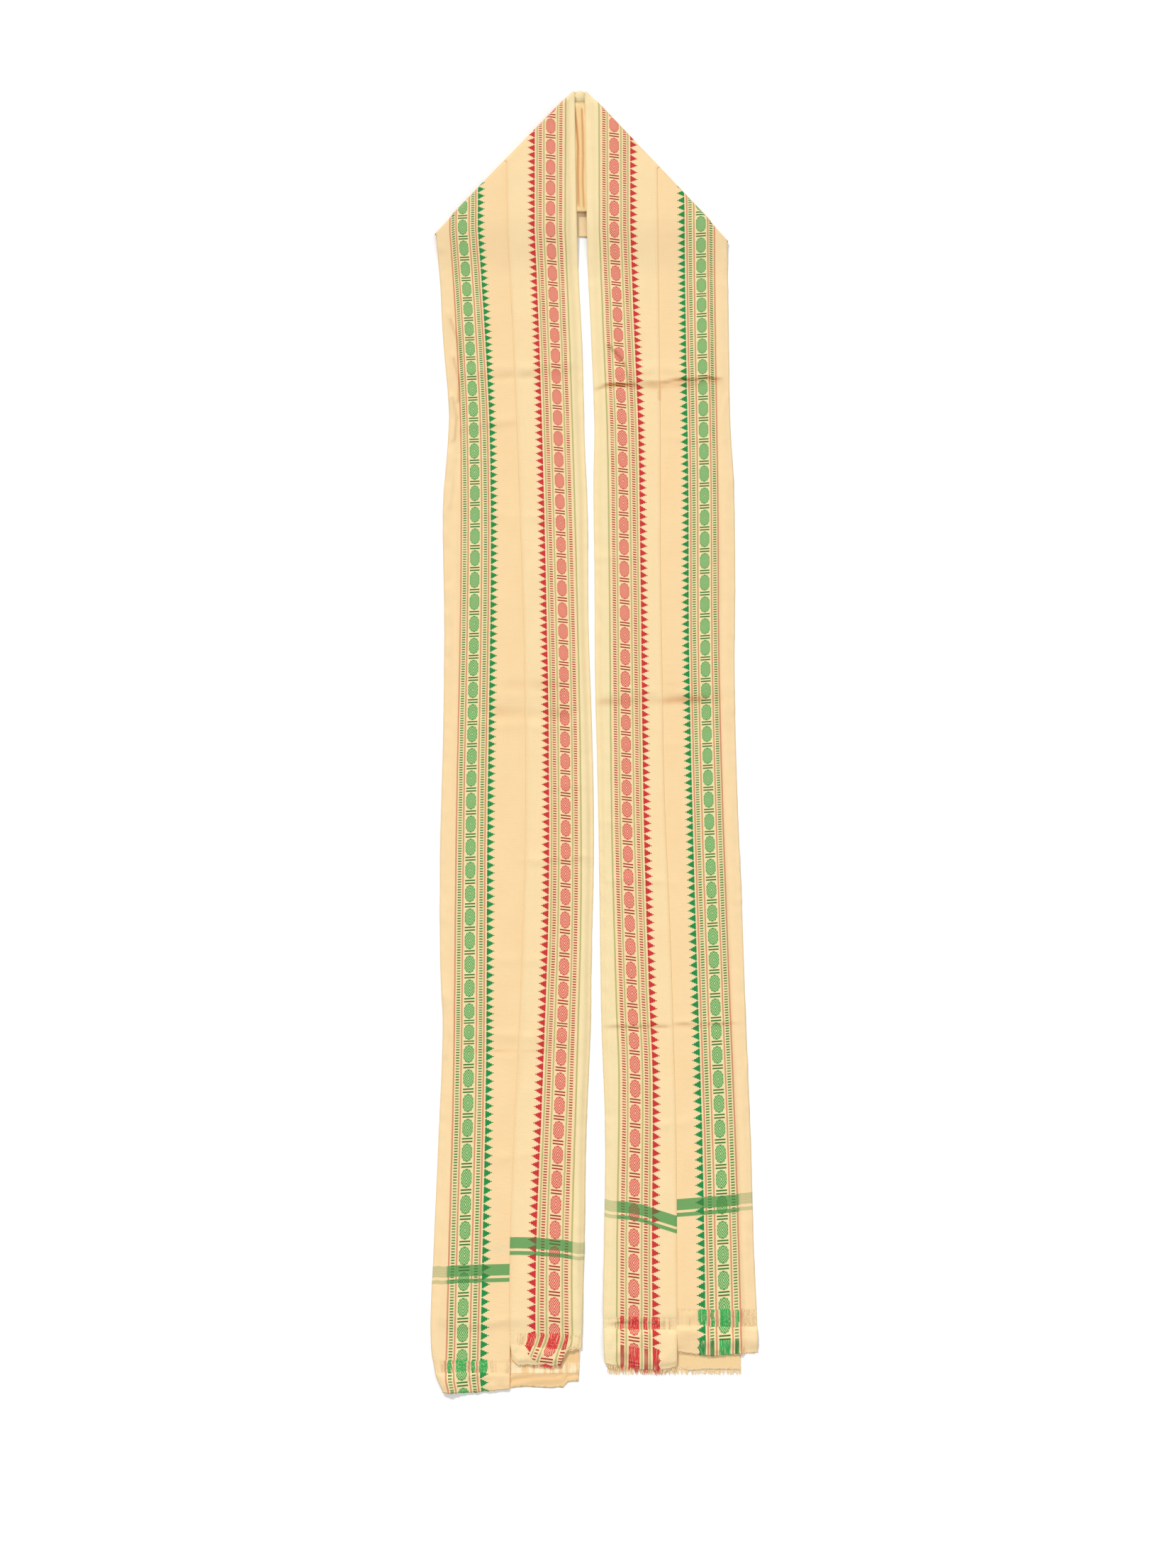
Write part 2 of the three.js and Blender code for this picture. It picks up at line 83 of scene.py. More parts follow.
# Loose warp: the distance between threads, how far a cut end sags, and how far the right base
# is woven on past its end. RIM_SHADE is how much painted shade is laid round a slant's fold
THREAD_PITCH, CUT_SAG, FRINGE_ROOT = 0.42, 0.9, 2.2
RIM_SHADE = 0.35

# The strips: each row is y, then x of the outer selvage, the midline and the inner selvage
OUTER, MIDDLE, INNER = 1, 2, 3
LEFT = {
    "name": "left",
    "rows": [
        (505, -125.0, -66.4, -12.2), (385, -122.4, -64.6, -10.2),
        (342, -118.9, -62.3, -8.5), (296, -116.1, -59.8, -6.2),
        (240, -110.9, -57.2, -4.6), (210, -111.6, -55.8, -3.9),
        (158, -114.7, -53.7, -1.8), (68, -112.7, -50.5, -1.0),
        (-21, -112.7, -48.5, 1.8), (-108, -113.9, -48.4, 3.0),
        (-193, -113.0, -50.7, 1.2), (-242, -110.5, -52.2, 0.6),
        (-319, -112.7, -55.7, -2.7), (-401, -115.5, -58.1, -4.0),
        (-470, -116.8, -58.4, -5.8), (-505, -109.6, -58.3, -6.6),
    ],
    "slant": ((-122.4, 383.6), (-12.2, 503.9)),
    "margins": [(505, 17, 0, 9), (380, 17, 0, 9), (-416, 9, 0, 5), (-505, 2, 0, 0.8)],
    "base_end": -500.6,
    "second_end": -455,
}
RIGHT = {
    "name": "right",
    "rows": [
        (505, 108.0, 52.6, -4.2), (378, 109.3, 53.4, -2.2),
        (342, 109.8, 53.8, -1.1), (296, 109.9, 54.0, 1.1),
        (226, 110.5, 54.5, 3.6), (180, 112.6, 54.3, 2.9),
        (112, 113.0, 54.0, 3.6), (23, 111.6, 54.9, 4.0),
        (-65, 112.7, 56.0, 6.2), (-151, 115.3, 59.1, 7.4),
        (-236, 117.2, 61.5, 8.6), (-319, 119.8, 63.2, 11.4),
        (-401, 121.2, 63.3, 10.4), (-447, 122.8, 63.1, 9.6),
        (-490, 123.6, 62.8, 10.9),
    ],
    "slant": ((109.3, 377.7), (-4.2, 503.9)),
    "margins": [(505, 17, 0, 9), (380, 17, 0, 9), (-416, 13, 0, 4), (-505, 12.4, 0, 1.2)],
    "base_end": -485.9,
    "second_end": -452,
}

# Each border's motif line (y, x), its count of repeats as a cubic in y / 100, the pattern's slip
# at each y where creases take up cloth, and how its weft slopes. Then the panel's ends, as
# share of the way from selvage to midline and y, and the length that has lost its weft
PANELS = {
    "left_green": {
        "strip": LEFT, "edge": OUTER, "side": "green", "skew": -0.05,
        "line": [(384, -101.4), (301, -95.6), (220, -91.3), (112, -89.7), (-86, -91.1),
                 (-278, -91.2), (-401, -93.0), (-487, -94.4)],
        "count": (3.05, 5.79, 0.033, -0.0006),
        "slip": [(384, 2.8), (310, 2.2), (265, 0), (150, 0.1), (70, 1.2), (0, 1.1), (-60, 0),
                 (-225, 0.4), (-255, -4.5), (-340, -3.9), (-375, -2.4), (-410, -2.1)],
        "cross": [(0, -418.7), (0.3, -416.9), (1, -415.9)],
        "weave_end": [(0, -480.0), (1, -480.6)],
        "header_start": [(0, -488.6), (1, -489.2)],
        "cut": [(0, -503.6), (0.4, -503.9), (1, -501.6)],
        "fray": 1.6,
    },
    "left_red": {
        "strip": LEFT, "edge": INNER, "side": "red", "skew": 0.12,
        "line": [(384, -31.0), (301, -27.6), (220, -24.8), (112, -21.8), (-21, -18.9),
                 (-151, -18.4), (-278, -21.9), (-401, -25.8), (-487, -25.6)],
        "count": (4.23, 5.90, 0.028, -0.0062),
        "slip": [(384, 1.2), (325, 2), (255, 1.2), (150, 1.3), (80, 3.1), (0, 2.4), (-60, 1.8),
                 (-230, 2.4), (-262, -1.3), (-340, -1.9), (-375, -2.5), (-410, -3.3), (-445, -4.3)],
        "cross": [(0, -401.4), (0.3, -398.6), (0.7, -396.9), (1, -396.7)],
        "weave_end": [(0, -462.4), (1, -460.8)],
        "header_start": [(0, -472.4), (0.5, -471.4), (1, -467.8)],
        "cut": [(0, -472.2), (0.15, -472.6), (0.2, -483.6), (0.3, -485.4), (0.5, -484.0),
                (0.8, -484.6), (0.93, -480.0), (1, -468.6)],
        "fray": 0.8,
        "print_end": [(0, -490), (0.36, -486.6), (0.56, -480.2), (0.78, -471.6), (0.84, -467.6),
                      (1, -462)],
    },
    "right_red": {
        "strip": RIGHT, "edge": INNER, "side": "red", "skew": 0.13,
        "line": [(384, 19.2), (301, 22.2), (220, 25.2), (112, 26.5), (-86, 28.2), (-215, 31.4),
                 (-278, 33.6), (-401, 32.2), (-487, 32.1)],
        "count": (3.48, 5.83, 0.016, -0.0044),
        "slip": [(384, 2.9), (310, 2.5), (275, -0.2), (245, -0.8), (185, 0.1), (80, 2.1), (20, 2.4),
                 (-25, 1.4), (-95, -1), (-230, -0.9), (-270, -1.6), (-340, -1.1), (-455, -2)],
        "cross": [(0, -370), (0.37, -371.7), (0.55, -373.6), (0.76, -377.3), (1, -381.2)],
        "weave_end": [(0, -449.8), (1, -449.4)],
        "header_start": [(0, -457.9), (1, -458.6)],
        "cut": [(0, -482.8), (0.2, -484.4), (0.45, -487.0), (0.75, -488.2), (0.92, -486.6), (1, -485.2)],
        "fray": 15.4,
    },
    "right_green": {
        "strip": RIGHT, "edge": OUTER, "side": "green", "skew": -0.07, "open_selvage": 0.24,
        "line": [(384, 88.6), (301, 89.0), (180, 89.8), (45, 89.4), (-86, 91.3), (-215, 94.5),
                 (-340, 97.7), (-487, 99.7)],
        "count": (4.05, 5.85, 0.018, -0.0076),
        "slip": [(384, 7.5), (360, 5.6), (325, 2.2), (290, 1), (250, 0), (215, 0), (150, 2), (60, 2.4),
                 (10, 1.4), (-95, -0.9), (-230, -1), (-270, -1.5), (-375, -1.1), (-410, -3.3),
                 (-455, -3.4)],
        "cross": [(0, -365.2), (1, -369.6)],
        "weave_end": [(0, -444.6), (1, -443.4)],
        "header_start": [(0, -456.6), (1, -455.4)],
        "cut": [(0, -475.6), (0.25, -476.2), (0.62, -477.8), (0.75, -476.8), (1, -474.6)],
        "fray": 11.5,
    },
}
REPEAT = 17.2

# How far each panel's fringe reaches past its cut end, 0 for none, and the shares of the way
# from selvage to midline between which it stands
FRINGES = {
    "left_green": (0, None),
    "left_red": (1.6, (0.08, 0.55)),
    "right_red": (3.0, (0.02, 0.99)),
    "right_green": (1.2, (0.02, 0.99)),
}
BASE_FRINGE = 6.0

# Creases: y at the strip's midline, rise over the strip's half width, the
# stretch across the strip from -1 (outer selvage) to 1 (inner selvage), height, half width
CREASES = {
    "left": [
        (272, 5, -0.9, 1.0, 0.45, 3.6), (263, 4, -0.6, 0.4, -0.35, 2.6),
        (228, 5, -1.0, 0.1, 0.35, 4.2), (196, -4, -1.0, -0.3, 0.35, 2.4),
        (152, -4, -0.7, 0.8, 0.3, 3.0), (88, 3, -1.0, -0.2, 0.25, 2.6),
        (12, 0, -0.8, 0.6, 0.35, 4.4), (-3, -1, -0.9, 0.9, -0.3, 4.4),
        (-13, -1, -0.9, 0.8, 0.3, 3.6), (-62, 4, 0.2, 1.0, 0.3, 2.6),
        (-116, 4, -0.2, 1.0, 0.4, 2.8), (-190, -5, -0.6, 0.4, 0.3, 3.6),
        (-246.5, -2, -0.8, 0.9, 0.4, 3.4), (-262, 2, -0.9, 0.2, 0.25, 3.0),
        (-334, 4, -0.4, 0.9, 0.3, 3.2), (-452, 6, -0.9, 0.2, 0.4, 3.0),
    ],
    "right": [
        (270, -2, -0.6, 0.9, 0.45, 4.2), (262, -4, -1.0, 1.0, 0.4, 1.7),
        (257.8, -4, -1.0, 1.0, -0.3, 2.0), (216, 5, -0.9, 0.2, 0.3, 3.0),
        (122, -3, 0.1, 1.0, 0.3, 2.8), (15.5, -1, -1.0, 0.9, 0.35, 2.4),
        (7, -1.5, -1.0, 0.9, -0.15, 3.2), (-28, -4, -1.0, 0.2, 0.35, 2.6),
        (-90, 4, 0.3, 1.0, 0.3, 2.6), (-132, 3, -0.2, 1.0, 0.35, 2.4),
        (-237, -1.5, -1.0, 1.0, 0.4, 1.8), (-240.5, -1.5, -0.9, 1.0, -0.2, 2.2),
        (-310, -5, -0.9, 0.4, 0.35, 3.0), (-452.5, 0, 0.05, 1.0, 0.6, 1.6),
        (-456, 0, 0.05, 1.0, -0.3, 1.9),
    ],
}

# Short tucks: points of a path (x, y), height and half width
TUCKS = [
    ([(13.5, 293), (22, 284), (27.5, 277), (31.5, 262)], 1.1, 1.0),
    ([(16, 288), (24, 279), (28, 270)], -0.6, 1.3),
    ([(-112, 318), (-106, 300), (-103, 281)], 1.0, 1.3),
    ([(-109, 284), (-104.5, 262), (-104.5, 246)], 1.1, 1.2),
    ([(-109.5, 250), (-106, 232), (-107.5, 214)], 1.0, 1.3),
    ([(-110, 205), (-108, 180), (-110, 160)], 0.8, 1.4),
    ([(-111, 96), (-108, 70), (-109, 44)], 0.6, 1.3),
    ([(-109, -215), (-106, -240), (-108, -262)], 0.8, 1.4),
    ([(108, 250), (104, 232), (106, 214)], 0.6, 1.3),
    ([(117, -96), (113, -120), (115, -146)], 0.6, 1.4),
    ([(119, -262), (115, -282), (117, -300)], 0.6, 1.4),
]

# Painted shade along creases and tucks, darkening the colour: as CREASES and TUCKS, with a depth of 0 to
# 1
PAINTED_CREASE_SHADES = {
    "left": [
        (266, 4, -0.8, 0.9, 0.16, 3.0), (226, 5, -1.0, 0.1, 0.14, 2.6),
        (20, 0, -0.5, 0.7, 0.24, 4.5), (-3, -1, -0.6, 0.7, 0.32, 4.5),
        (-116, 4, -0.2, 1.0, 0.14, 1.6), (-257.5, 0, -0.9, 0.6, 0.18, 0.9),
    ],
    "right": [
        (259.6, -4, -1.0, 1.0, 0.95, 1.3), (256.6, -4, -1.0, 0.6, 0.35, 2.4),
        (18, -1, -0.9, 0.4, 0.14, 3.0), (7.5, -1.5, -1.0, 1.0, 0.5, 3.0),
        (-238.4, -1.5, -1.0, 1.0, 0.5, 0.9), (-454.5, 0, 0.0, 1.0, 0.15, 1.2),
    ],
}
PAINTED_TUCK_SHADES = [
    ([(54.2, 259), (54.4, 246)], 0.5, 0.9),
    ([(14.5, 290), (22.8, 281.5), (27.2, 275), (30.5, 262)], 0.6, 0.8),
    ([(-110.5, 312), (-104.4, 296), (-101.8, 281)], 0.35, 1.0),
    ([(-107.5, 280), (-103, 262), (-103, 246)], 0.35, 1.0),
    ([(-108, 248), (-104.6, 232), (-106, 214)], 0.3, 1.0),
]

# At the midline the red panel's edge lies over the green one's: how far past it each reaches,
# how it is lifted there, and from which share of the way across. SEAM_SHADOW is how much painted shadow
# lies along it
SEAMS = {"red": (0.35, 0.3, 0.93), "green": (-0.75, -0.3, 0.95)}
SEAM_SHADOW = 0.16

# A pale smear of green dye: x, y and its half sizes
SMEAR = (-66, -401, 6.5, 3.2)

# The neck's own wrinkles, seen between the two selvages; each also lays painted shade in the colour,
# most along troughs
NECK_TUCKS = [
    ([(-12.5, 488), (-10.5, 470), (-9.4, 455), (-9.6, 430), (-9.0, 406)], -0.8, 0.9),
    ([(-10.0, 489), (-8.2, 468), (-7.6, 452), (-7.8, 425), (-7.4, 404)], 0.9, 1.1),
    ([(-6.4, 487), (-5.6, 466), (-5.2, 448), (-5.6, 424), (-4.6, 404)], -0.7, 0.8),
    ([(-3.4, 478), (-3.0, 455), (-2.6, 430), (-1.8, 408)], 0.7, 1.1),
]

# The left strip's lowest layer, where it shows past the red header: where its loose band starts
# and ends, and its wrinkles
BASE_FLOATS = (-483.2, -490.4)
BASE_TUCKS = [
    ([(-78, -500), (-55, -491.5), (-30, -490.5), (-7, -488.5)], 0.8, 1.6),
    ([(-66, -500), (-38, -495), (-20, -494.5), (-7, -494.5)], 0.7, 1.4),
    ([(-60, -497), (-34, -492.6), (-12, -491.6)], -0.3, 1.2),
]

# Colours, as sRGB bytes in the photograph's light
PEACH, PEACH_SELVAGE = (248, 216, 165), (246, 217, 169)
CREAM, CREAM_SELVAGE = (248, 221, 171), (245, 225, 176)
TAN, PEACH_TAN = (240, 201, 146), (241, 209, 156)
CROSS_GREEN = (102, 164, 96)
DYE_SMEAR = (214, 214, 176)
# The neck's middle is painted lighter than the strips' tan, as painted light against the shade of its
# narrow recess
LIT_NECK_TAN = (250, 217, 158)
NECK_THREAD = (112, 132, 60)

# Each side's thread, its darker and paler tones, its pinstripes, the ground around its motifs,
# and its thread where it runs loose
GREENS = ((34, 140, 70), (56, 104, 40), (200, 224, 152), (216, 144, 110), (232, 232, 172), (52, 176, 90))
REDS = ((206, 52, 56), (146, 52, 40), (252, 196, 162), (184, 182, 116), (247, 214, 166), (224, 60, 64))
# Undyed loose warp, light and dark, then its pale clumps and the shade between its threads
WARP = ((248, 220, 172), (216, 178, 124))
PALE_CLUMP, SHADED_WARP, BETWEEN_THREADS = (255, 236, 196), (216, 172, 116), (236, 204, 152)
# What varies the ground, and the colour of the painted shade at creases, the seam and slants
SLUB, STREAK, PATCH = (238, 196, 140), (242, 203, 150), (250, 208, 152)
PAINTED_SHADE_COLOUR = (196, 140, 84)


def smooth(share):
    s = np.clip(share, 0, 1)
    return s * s * (3 - 2 * s)


def table_at(rows, column, at):
    """A smooth curve through one column of a table whose rows run down in y."""
    table = np.array(rows[::-1], float)
    y, value = table[:, 0], table[:, column]
    row = np.arange(len(y))
    before, after = np.maximum(row - 1, 0), np.minimum(row + 1, len(y) - 1)
    slope = (value[after] - value[before]) / (y[after] - y[before])
    at = np.clip(at, y[0], y[-1])
    i = np.clip(np.searchsorted(y, at) - 1, 0, len(y) - 2)
    span = y[i + 1] - y[i]
    u = (at - y[i]) / span
    return (
        (2 * u**3 - 3 * u**2 + 1) * value[i]
        + (u**3 - 2 * u**2 + u) * span * slope[i]
        + (3 * u**2 - 2 * u**3) * value[i + 1]
        + (u**3 - u**2) * span * slope[i + 1]
    )


def straight_at(points, at):
    """Straight lines between points (position, value), in either order."""
    return np.interp(at, *zip(*sorted(points)))


def uneven(shape_points, seed, spacing, amount):
    """Smooth, repeatable unevenness at (x, y) points, with a spacing in each direction."""
    x, y = shape_points
    grid = np.random.RandomState(seed).uniform(-1, 1, (64, 256))
    gx, gy = (x / spacing[0]) % 63, (y / spacing[1]) % 255
    i, j = np.floor(gx).astype(int), np.floor(gy).astype(int)
    u, v = smooth(gx - i), smooth(gy - j)
    near = grid[i, j] * (1 - u) + grid[i + 1, j] * u
    far = grid[i, j + 1] * (1 - u) + grid[i + 1, j + 1] * u
    return amount * (near * (1 - v) + far * v)


def rows_of(count):
    """Shares of the way down a grid, one to a row."""
    return np.linspace(0, 1, count)[:, None]


def lift(y):
    """Height of whatever the strip lies on: the floor, or the neck."""
    return (BAND_HEIGHT + GAP) * smooth((y - CLIMB_START) / (CLIMB_END - CLIMB_START))


def margin(strip, edge, y):
    return straight_at([(row[0], row[edge]) for row in strip["margins"]], y)


def edge_x(strip, edge, y):
    return table_at(strip["rows"], edge, y)


def fold_x(strip, edge, y):
    """Where the layers under a panel are folded, in from its selvage."""
    selvage = edge_x(strip, edge, y)
    return selvage + np.sign(edge_x(strip, MIDDLE, y) - selvage) * margin(strip, edge, y)


def panel_width(strip, edge, y):
    return np.abs(edge_x(strip, MIDDLE, y) - edge_x(strip, edge, y))


def noise_place(x, y):
    """Where a point reads the unevenness, kept above zero."""
    return x + 400, y + 600


def creases_at(table, strip, x, y, seeds, wobble, patchy):
    """For each crease of a table, its height times how far it reaches each point. patchy holds
    the mean, the spread and the spacing of its strength along the crease."""
    inside = (x - edge_x(strip, MIDDLE, y)) / HALF_STRIP * (1 if strip is LEFT else -1)
    mean, spread, spacing = patchy
    for number, (y0, slant, start, stop, height, width) in enumerate(table[strip["name"]]):
        bend = uneven((x + 400, y * 0 + 40 * number), seeds[0] + number, (13, 9), wobble)
        off = (y - y0 - slant * inside - bend) / width
        fade = smooth((inside - start) / 0.25) * smooth((stop - inside) / 0.25)
        strength = mean + uneven((x + 400, y * 0 + 90 * number), seeds[1] + number, (spacing, 9), spread)
        yield height * fade * strength * np.exp(-off * off)


def tucks_at(tucks, x, y):
    """For each tuck, its height and how far it reaches each point, 0 to 1."""
    for path, height, width in tucks:
        away = np.full_like(x, 1e9)
        for (x0, y0), (x1, y1) in zip(path[:-1], path[1:]):
            dx, dy = x1 - x0, y1 - y0
            u = np.clip(((x - x0) * dx + (y - y0) * dy) / (dx * dx + dy * dy), 0, 1)
            away = np.minimum(away, np.hypot(x - x0 - u * dx, y - y0 - u * dy))
        yield height, np.exp(-((away / width) ** 2))


def crease_height(strip, x, y):
    """Soft ridges and troughs across a strip, and short tucks."""
    ridges = creases_at(CREASES, strip, x, y, (7, 70), 1.6, (1, 0.45, 17))
    return sum([*ridges, *(height * reach for height, reach in tucks_at(TUCKS, x, y))])


def painted_crease_shade(strip, x, y):
    """How much painted shade darkens the cloth's colour along sharp creases and tucks, 0 to 1."""
    shade_and_marks = creases_at(PAINTED_CREASE_SHADES, strip, x, y, (107, 170), 1.0, (0.7, 0.5, 11))
    tucks = (depth * reach for depth, reach in tucks_at(PAINTED_TUCK_SHADES, x, y))
    return np.max([0 * x, *shade_and_marks, *tucks], axis=0)


def relief(strip, x, y, inside, width):
    """Everything that lifts a top panel's surface: creases, slack and the selvage's soft roll."""
    here = noise_place(x, y)
    slack = uneven(here, 3, (19, 34), 0.28) + uneven(here, 5, (8, 12), 0.12)
    roll = 0.45 * np.exp(-(((inside - 5.5) / 2.2) ** 2))
    roll = roll * (1 + uneven((x * 0 + 5, y + 600), 11, (9, 26), 1.0))
    slanted = (x * 0.8 + y * 0.35 + 700, y + 600)
    ripple = uneven(slanted, 17, (3.6, 9), 0.32) + uneven(here, 19, (9, 5), 0.2)
    calm = smooth((width - inside) / 6)
    near_selvage = np.exp(-((inside / 9) ** 2)) * (0.6 + uneven((x * 0 + 9, y + 600), 13, (9, 41), 0.4))
    creases = crease_height(strip, x, y) * (0.35 + 0.65 * calm)
    return creases + slack * calm + roll + ripple * near_selvage


def panel_top(strip, edge, inside, y):
    """(x, height of the cloth's top face) at a distance in from the panel's selvage."""
    selvage = edge_x(strip, edge, y)
    middle = edge_x(strip, MIDDLE, y)
    x = selvage + np.sign(middle - selvage) * inside
    width = np.abs(middle - selvage)
    on_base = smooth((inside - margin(strip, edge, y) + DROP) / DROP)
    layers = 1 + smooth((y - strip["second_end"] + LAYER_STEP) / (2 * LAYER_STEP))
    on_layers = layers * LAYER + GAP + WALL - SHEET
    body = SHEET + on_layers * on_base
    return x, lift(y) + body + np.maximum(relief(strip, x, y, inside, width), -0.5 * body)


def slant_frame(strip):
    a, b = (np.array(p) for p in strip["slant"])
    along = (b - a) / np.linalg.norm(b - a)
    out = np.array((-along[1], along[0]))
    return a, out if out[1] > 0 else -out


def meet_slant(strip, place_at, like):
    """Where each lengthwise line meets the axis of the slanted fold. place_at gives the lines'
    x and height at y."""
    a, out = slant_frame(strip)
    low, high = np.full_like(like, 300.0), np.full_like(like, 520.0)
    for _ in range(40):
        y = (low + high) / 2
        x, height = place_at(y)
        past = (x - a[0]) * out[0] + (y - a[1]) * out[1] + height / 2
        high = np.where(past > 0, y, high)
        low = np.where(past > 0, low, y)
    return low


def linked(name, data):
    thing = bpy.data.objects.new(name, data)
    bpy.context.collection.objects.link(thing)
    return thing


def new_mesh(name, points, faces, attributes, rounded=True):
    """A piece from points in millimetres. Attributes are per point, three numbers each."""
    mesh = bpy.data.meshes.new(name)
    mesh.from_pydata((np.asarray(points) * MM).tolist(), [], faces)
    for key, values in attributes.items():
        layer = mesh.attributes.new(key, "FLOAT_VECTOR", "POINT")
        layer.data.foreach_set("vector", np.asarray(values, np.float32).ravel())
    mesh.validate()
    if rounded:
        mesh.shade_smooth()
    return linked(name, mesh)


def shell(name, top, looks, under=None):
    """A piece: one closed shell whose top face is a grid [row][column][xyz]. looks is
    [row][column] of nine numbers, as looks_at gives, and under is the underside's own."""
    rows, columns = top.shape[:2]
    normal = np.cross(np.gradient(top, axis=1), np.gradient(top, axis=0))
    normal /= np.maximum(np.linalg.norm(normal, axis=2, keepdims=True), 1e-9)
    flip = normal[rows // 3, columns // 2, 2] < 0
    if flip:
        normal = -normal
    points = np.concatenate([top.reshape(-1, 3), (top - normal * SHEET).reshape(-1, 3)])
    points[:, 2] = np.maximum(points[:, 2], 0)
    n = rows * columns
    index = np.arange(n).reshape(rows, columns)
    a, b, c, d = index[:-1, :-1], index[:-1, 1:], index[1:, 1:], index[1:, :-1]
    up = np.stack([a, b, c, d], -1).reshape(-1, 4)
    down = np.stack([a, d, c, b], -1).reshape(-1, 4) + n
    rims = []
    for line in (index[0, ::-1], index[:, 0], index[-1, :], index[::-1, -1]):
        p, q = line[:-1], line[1:]
        rims.append(np.stack([q, p, p + n, q + n], -1)[:, ::-1])
    faces = np.concatenate([up, down, *rims])
    if flip:
        faces = faces[:, ::-1]
    both = np.concatenate([side.reshape(-1, 9) for side in (looks, looks if under is None else under)])
    attributes = {"weave": both[:, :3], "ends": both[:, 3:6], "shade_and_marks": both[:, 6:]}
    return new_mesh(name, points, faces.tolist(), attributes)


# Looks are nine numbers a point: millimetres from the motif line towards the midline, repeats
# along the cloth, millimetres above the cross band, then above the end of the close weave, the
# start of the header and the frayed end, how much painted shade darkens it at creases, the seam
# and slants, millimetres above the border's own end, and how much dye has run there. These are
# unpatterned cloth's, far from every end
PLAIN_LOOKS = (-60, 0, 200, 100, 100, 100, 0, 9, 0)
FLOATS, HEADER, FRAYED, SHADE, DYED = 3, 4, 5, 6, 8


def plain_looks(u, v):
    looks = np.zeros(np.broadcast(u, v).shape + (9,)) + PLAIN_LOOKS
    looks[..., 0] = u
    looks[..., 1] = v
    return looks


def looks_at(panel, x, y):
    """Looks of a bordered panel."""
    strip, edge = panel["strip"], panel["edge"]
    selvage = edge_x(strip, edge, y)
    middle = edge_x(strip, MIDDLE, y)
    line = table_at(panel["line"], 1, y)
    counts = panel["count"]
    share = (x - selvage) / (middle - selvage)
    cross, weave_end, header_start, cut = (
        straight_at(panel[name], share) for name in ("cross", "weave_end", "header_start", "cut")
    )
    # Loose floats hold no weft, so the header goes on where the weave left off
    woven_y = np.maximum(y, np.minimum(weave_end, y + weave_end - header_start))
    woven_y = woven_y + straight_at(panel["slip"], y) + panel["skew"] * (x - line)
    repeats = sum(c * (woven_y / 100) ** power for power, c in enumerate(counts))
    per_mm = sum(power * c * (y / 100) ** (power - 1) for power, c in enumerate(counts) if power) / 100
    u = (x - line) * np.sign(middle - selvage) * per_mm * REPEAT
    above = [y - cross, y - weave_end, y - header_start, y - cut - panel["fray"]]
    printed = y - straight_at(panel["print_end"], share) if "print_end" in panel else 0 * y + 9
    # Painted shade along creases and tucks
    painted_shade = painted_crease_shade(strip, x, y)
    # Painted shadow along the red panel's edge at the midline, where it lies over the green
    if panel["side"] == "red":
        painted_shade = np.maximum(painted_shade, SEAM_SHADOW * np.exp(-((np.abs(x - middle) / 0.8) ** 2)))
    smear = np.exp(-(((x - SMEAR[0]) / SMEAR[2]) ** 2) - ((y - SMEAR[1]) / SMEAR[3]) ** 2)
    return np.stack([u, repeats, *above, painted_shade, printed, smear], -1)


def fold_edge(top, weave, radius=0.55, under=2.5):
    """Rolls a grid's last column down and back under itself, as at a lengthwise fold."""
    last, before = top[:, -1], top[:, -2]
    out = last - before
    out[:, 2] = 0
    out /= np.linalg.norm(out, axis=1, keepdims=True)
    extra = []
    for angle in np.linspace(0.2, 1, 6) * math.pi:
        move = out * radius * math.sin(angle)
        move[:, 2] = -radius * (1 - math.cos(angle))
        extra.append(last + move)
    extra.append(extra[-1] - out * under)
    grown = np.concatenate([top, np.stack(extra, 1)], axis=1)
    same = np.repeat(weave[:, -1:], len(extra), axis=1)
    return grown, np.concatenate([weave, same], axis=1)


def left_red_pull(share, y):
    """How far the left red panel's loose end is pulled outwards."""
    return 7 * smooth((-462 - y) / 22) * np.sin(np.pi * share) ** 0.7


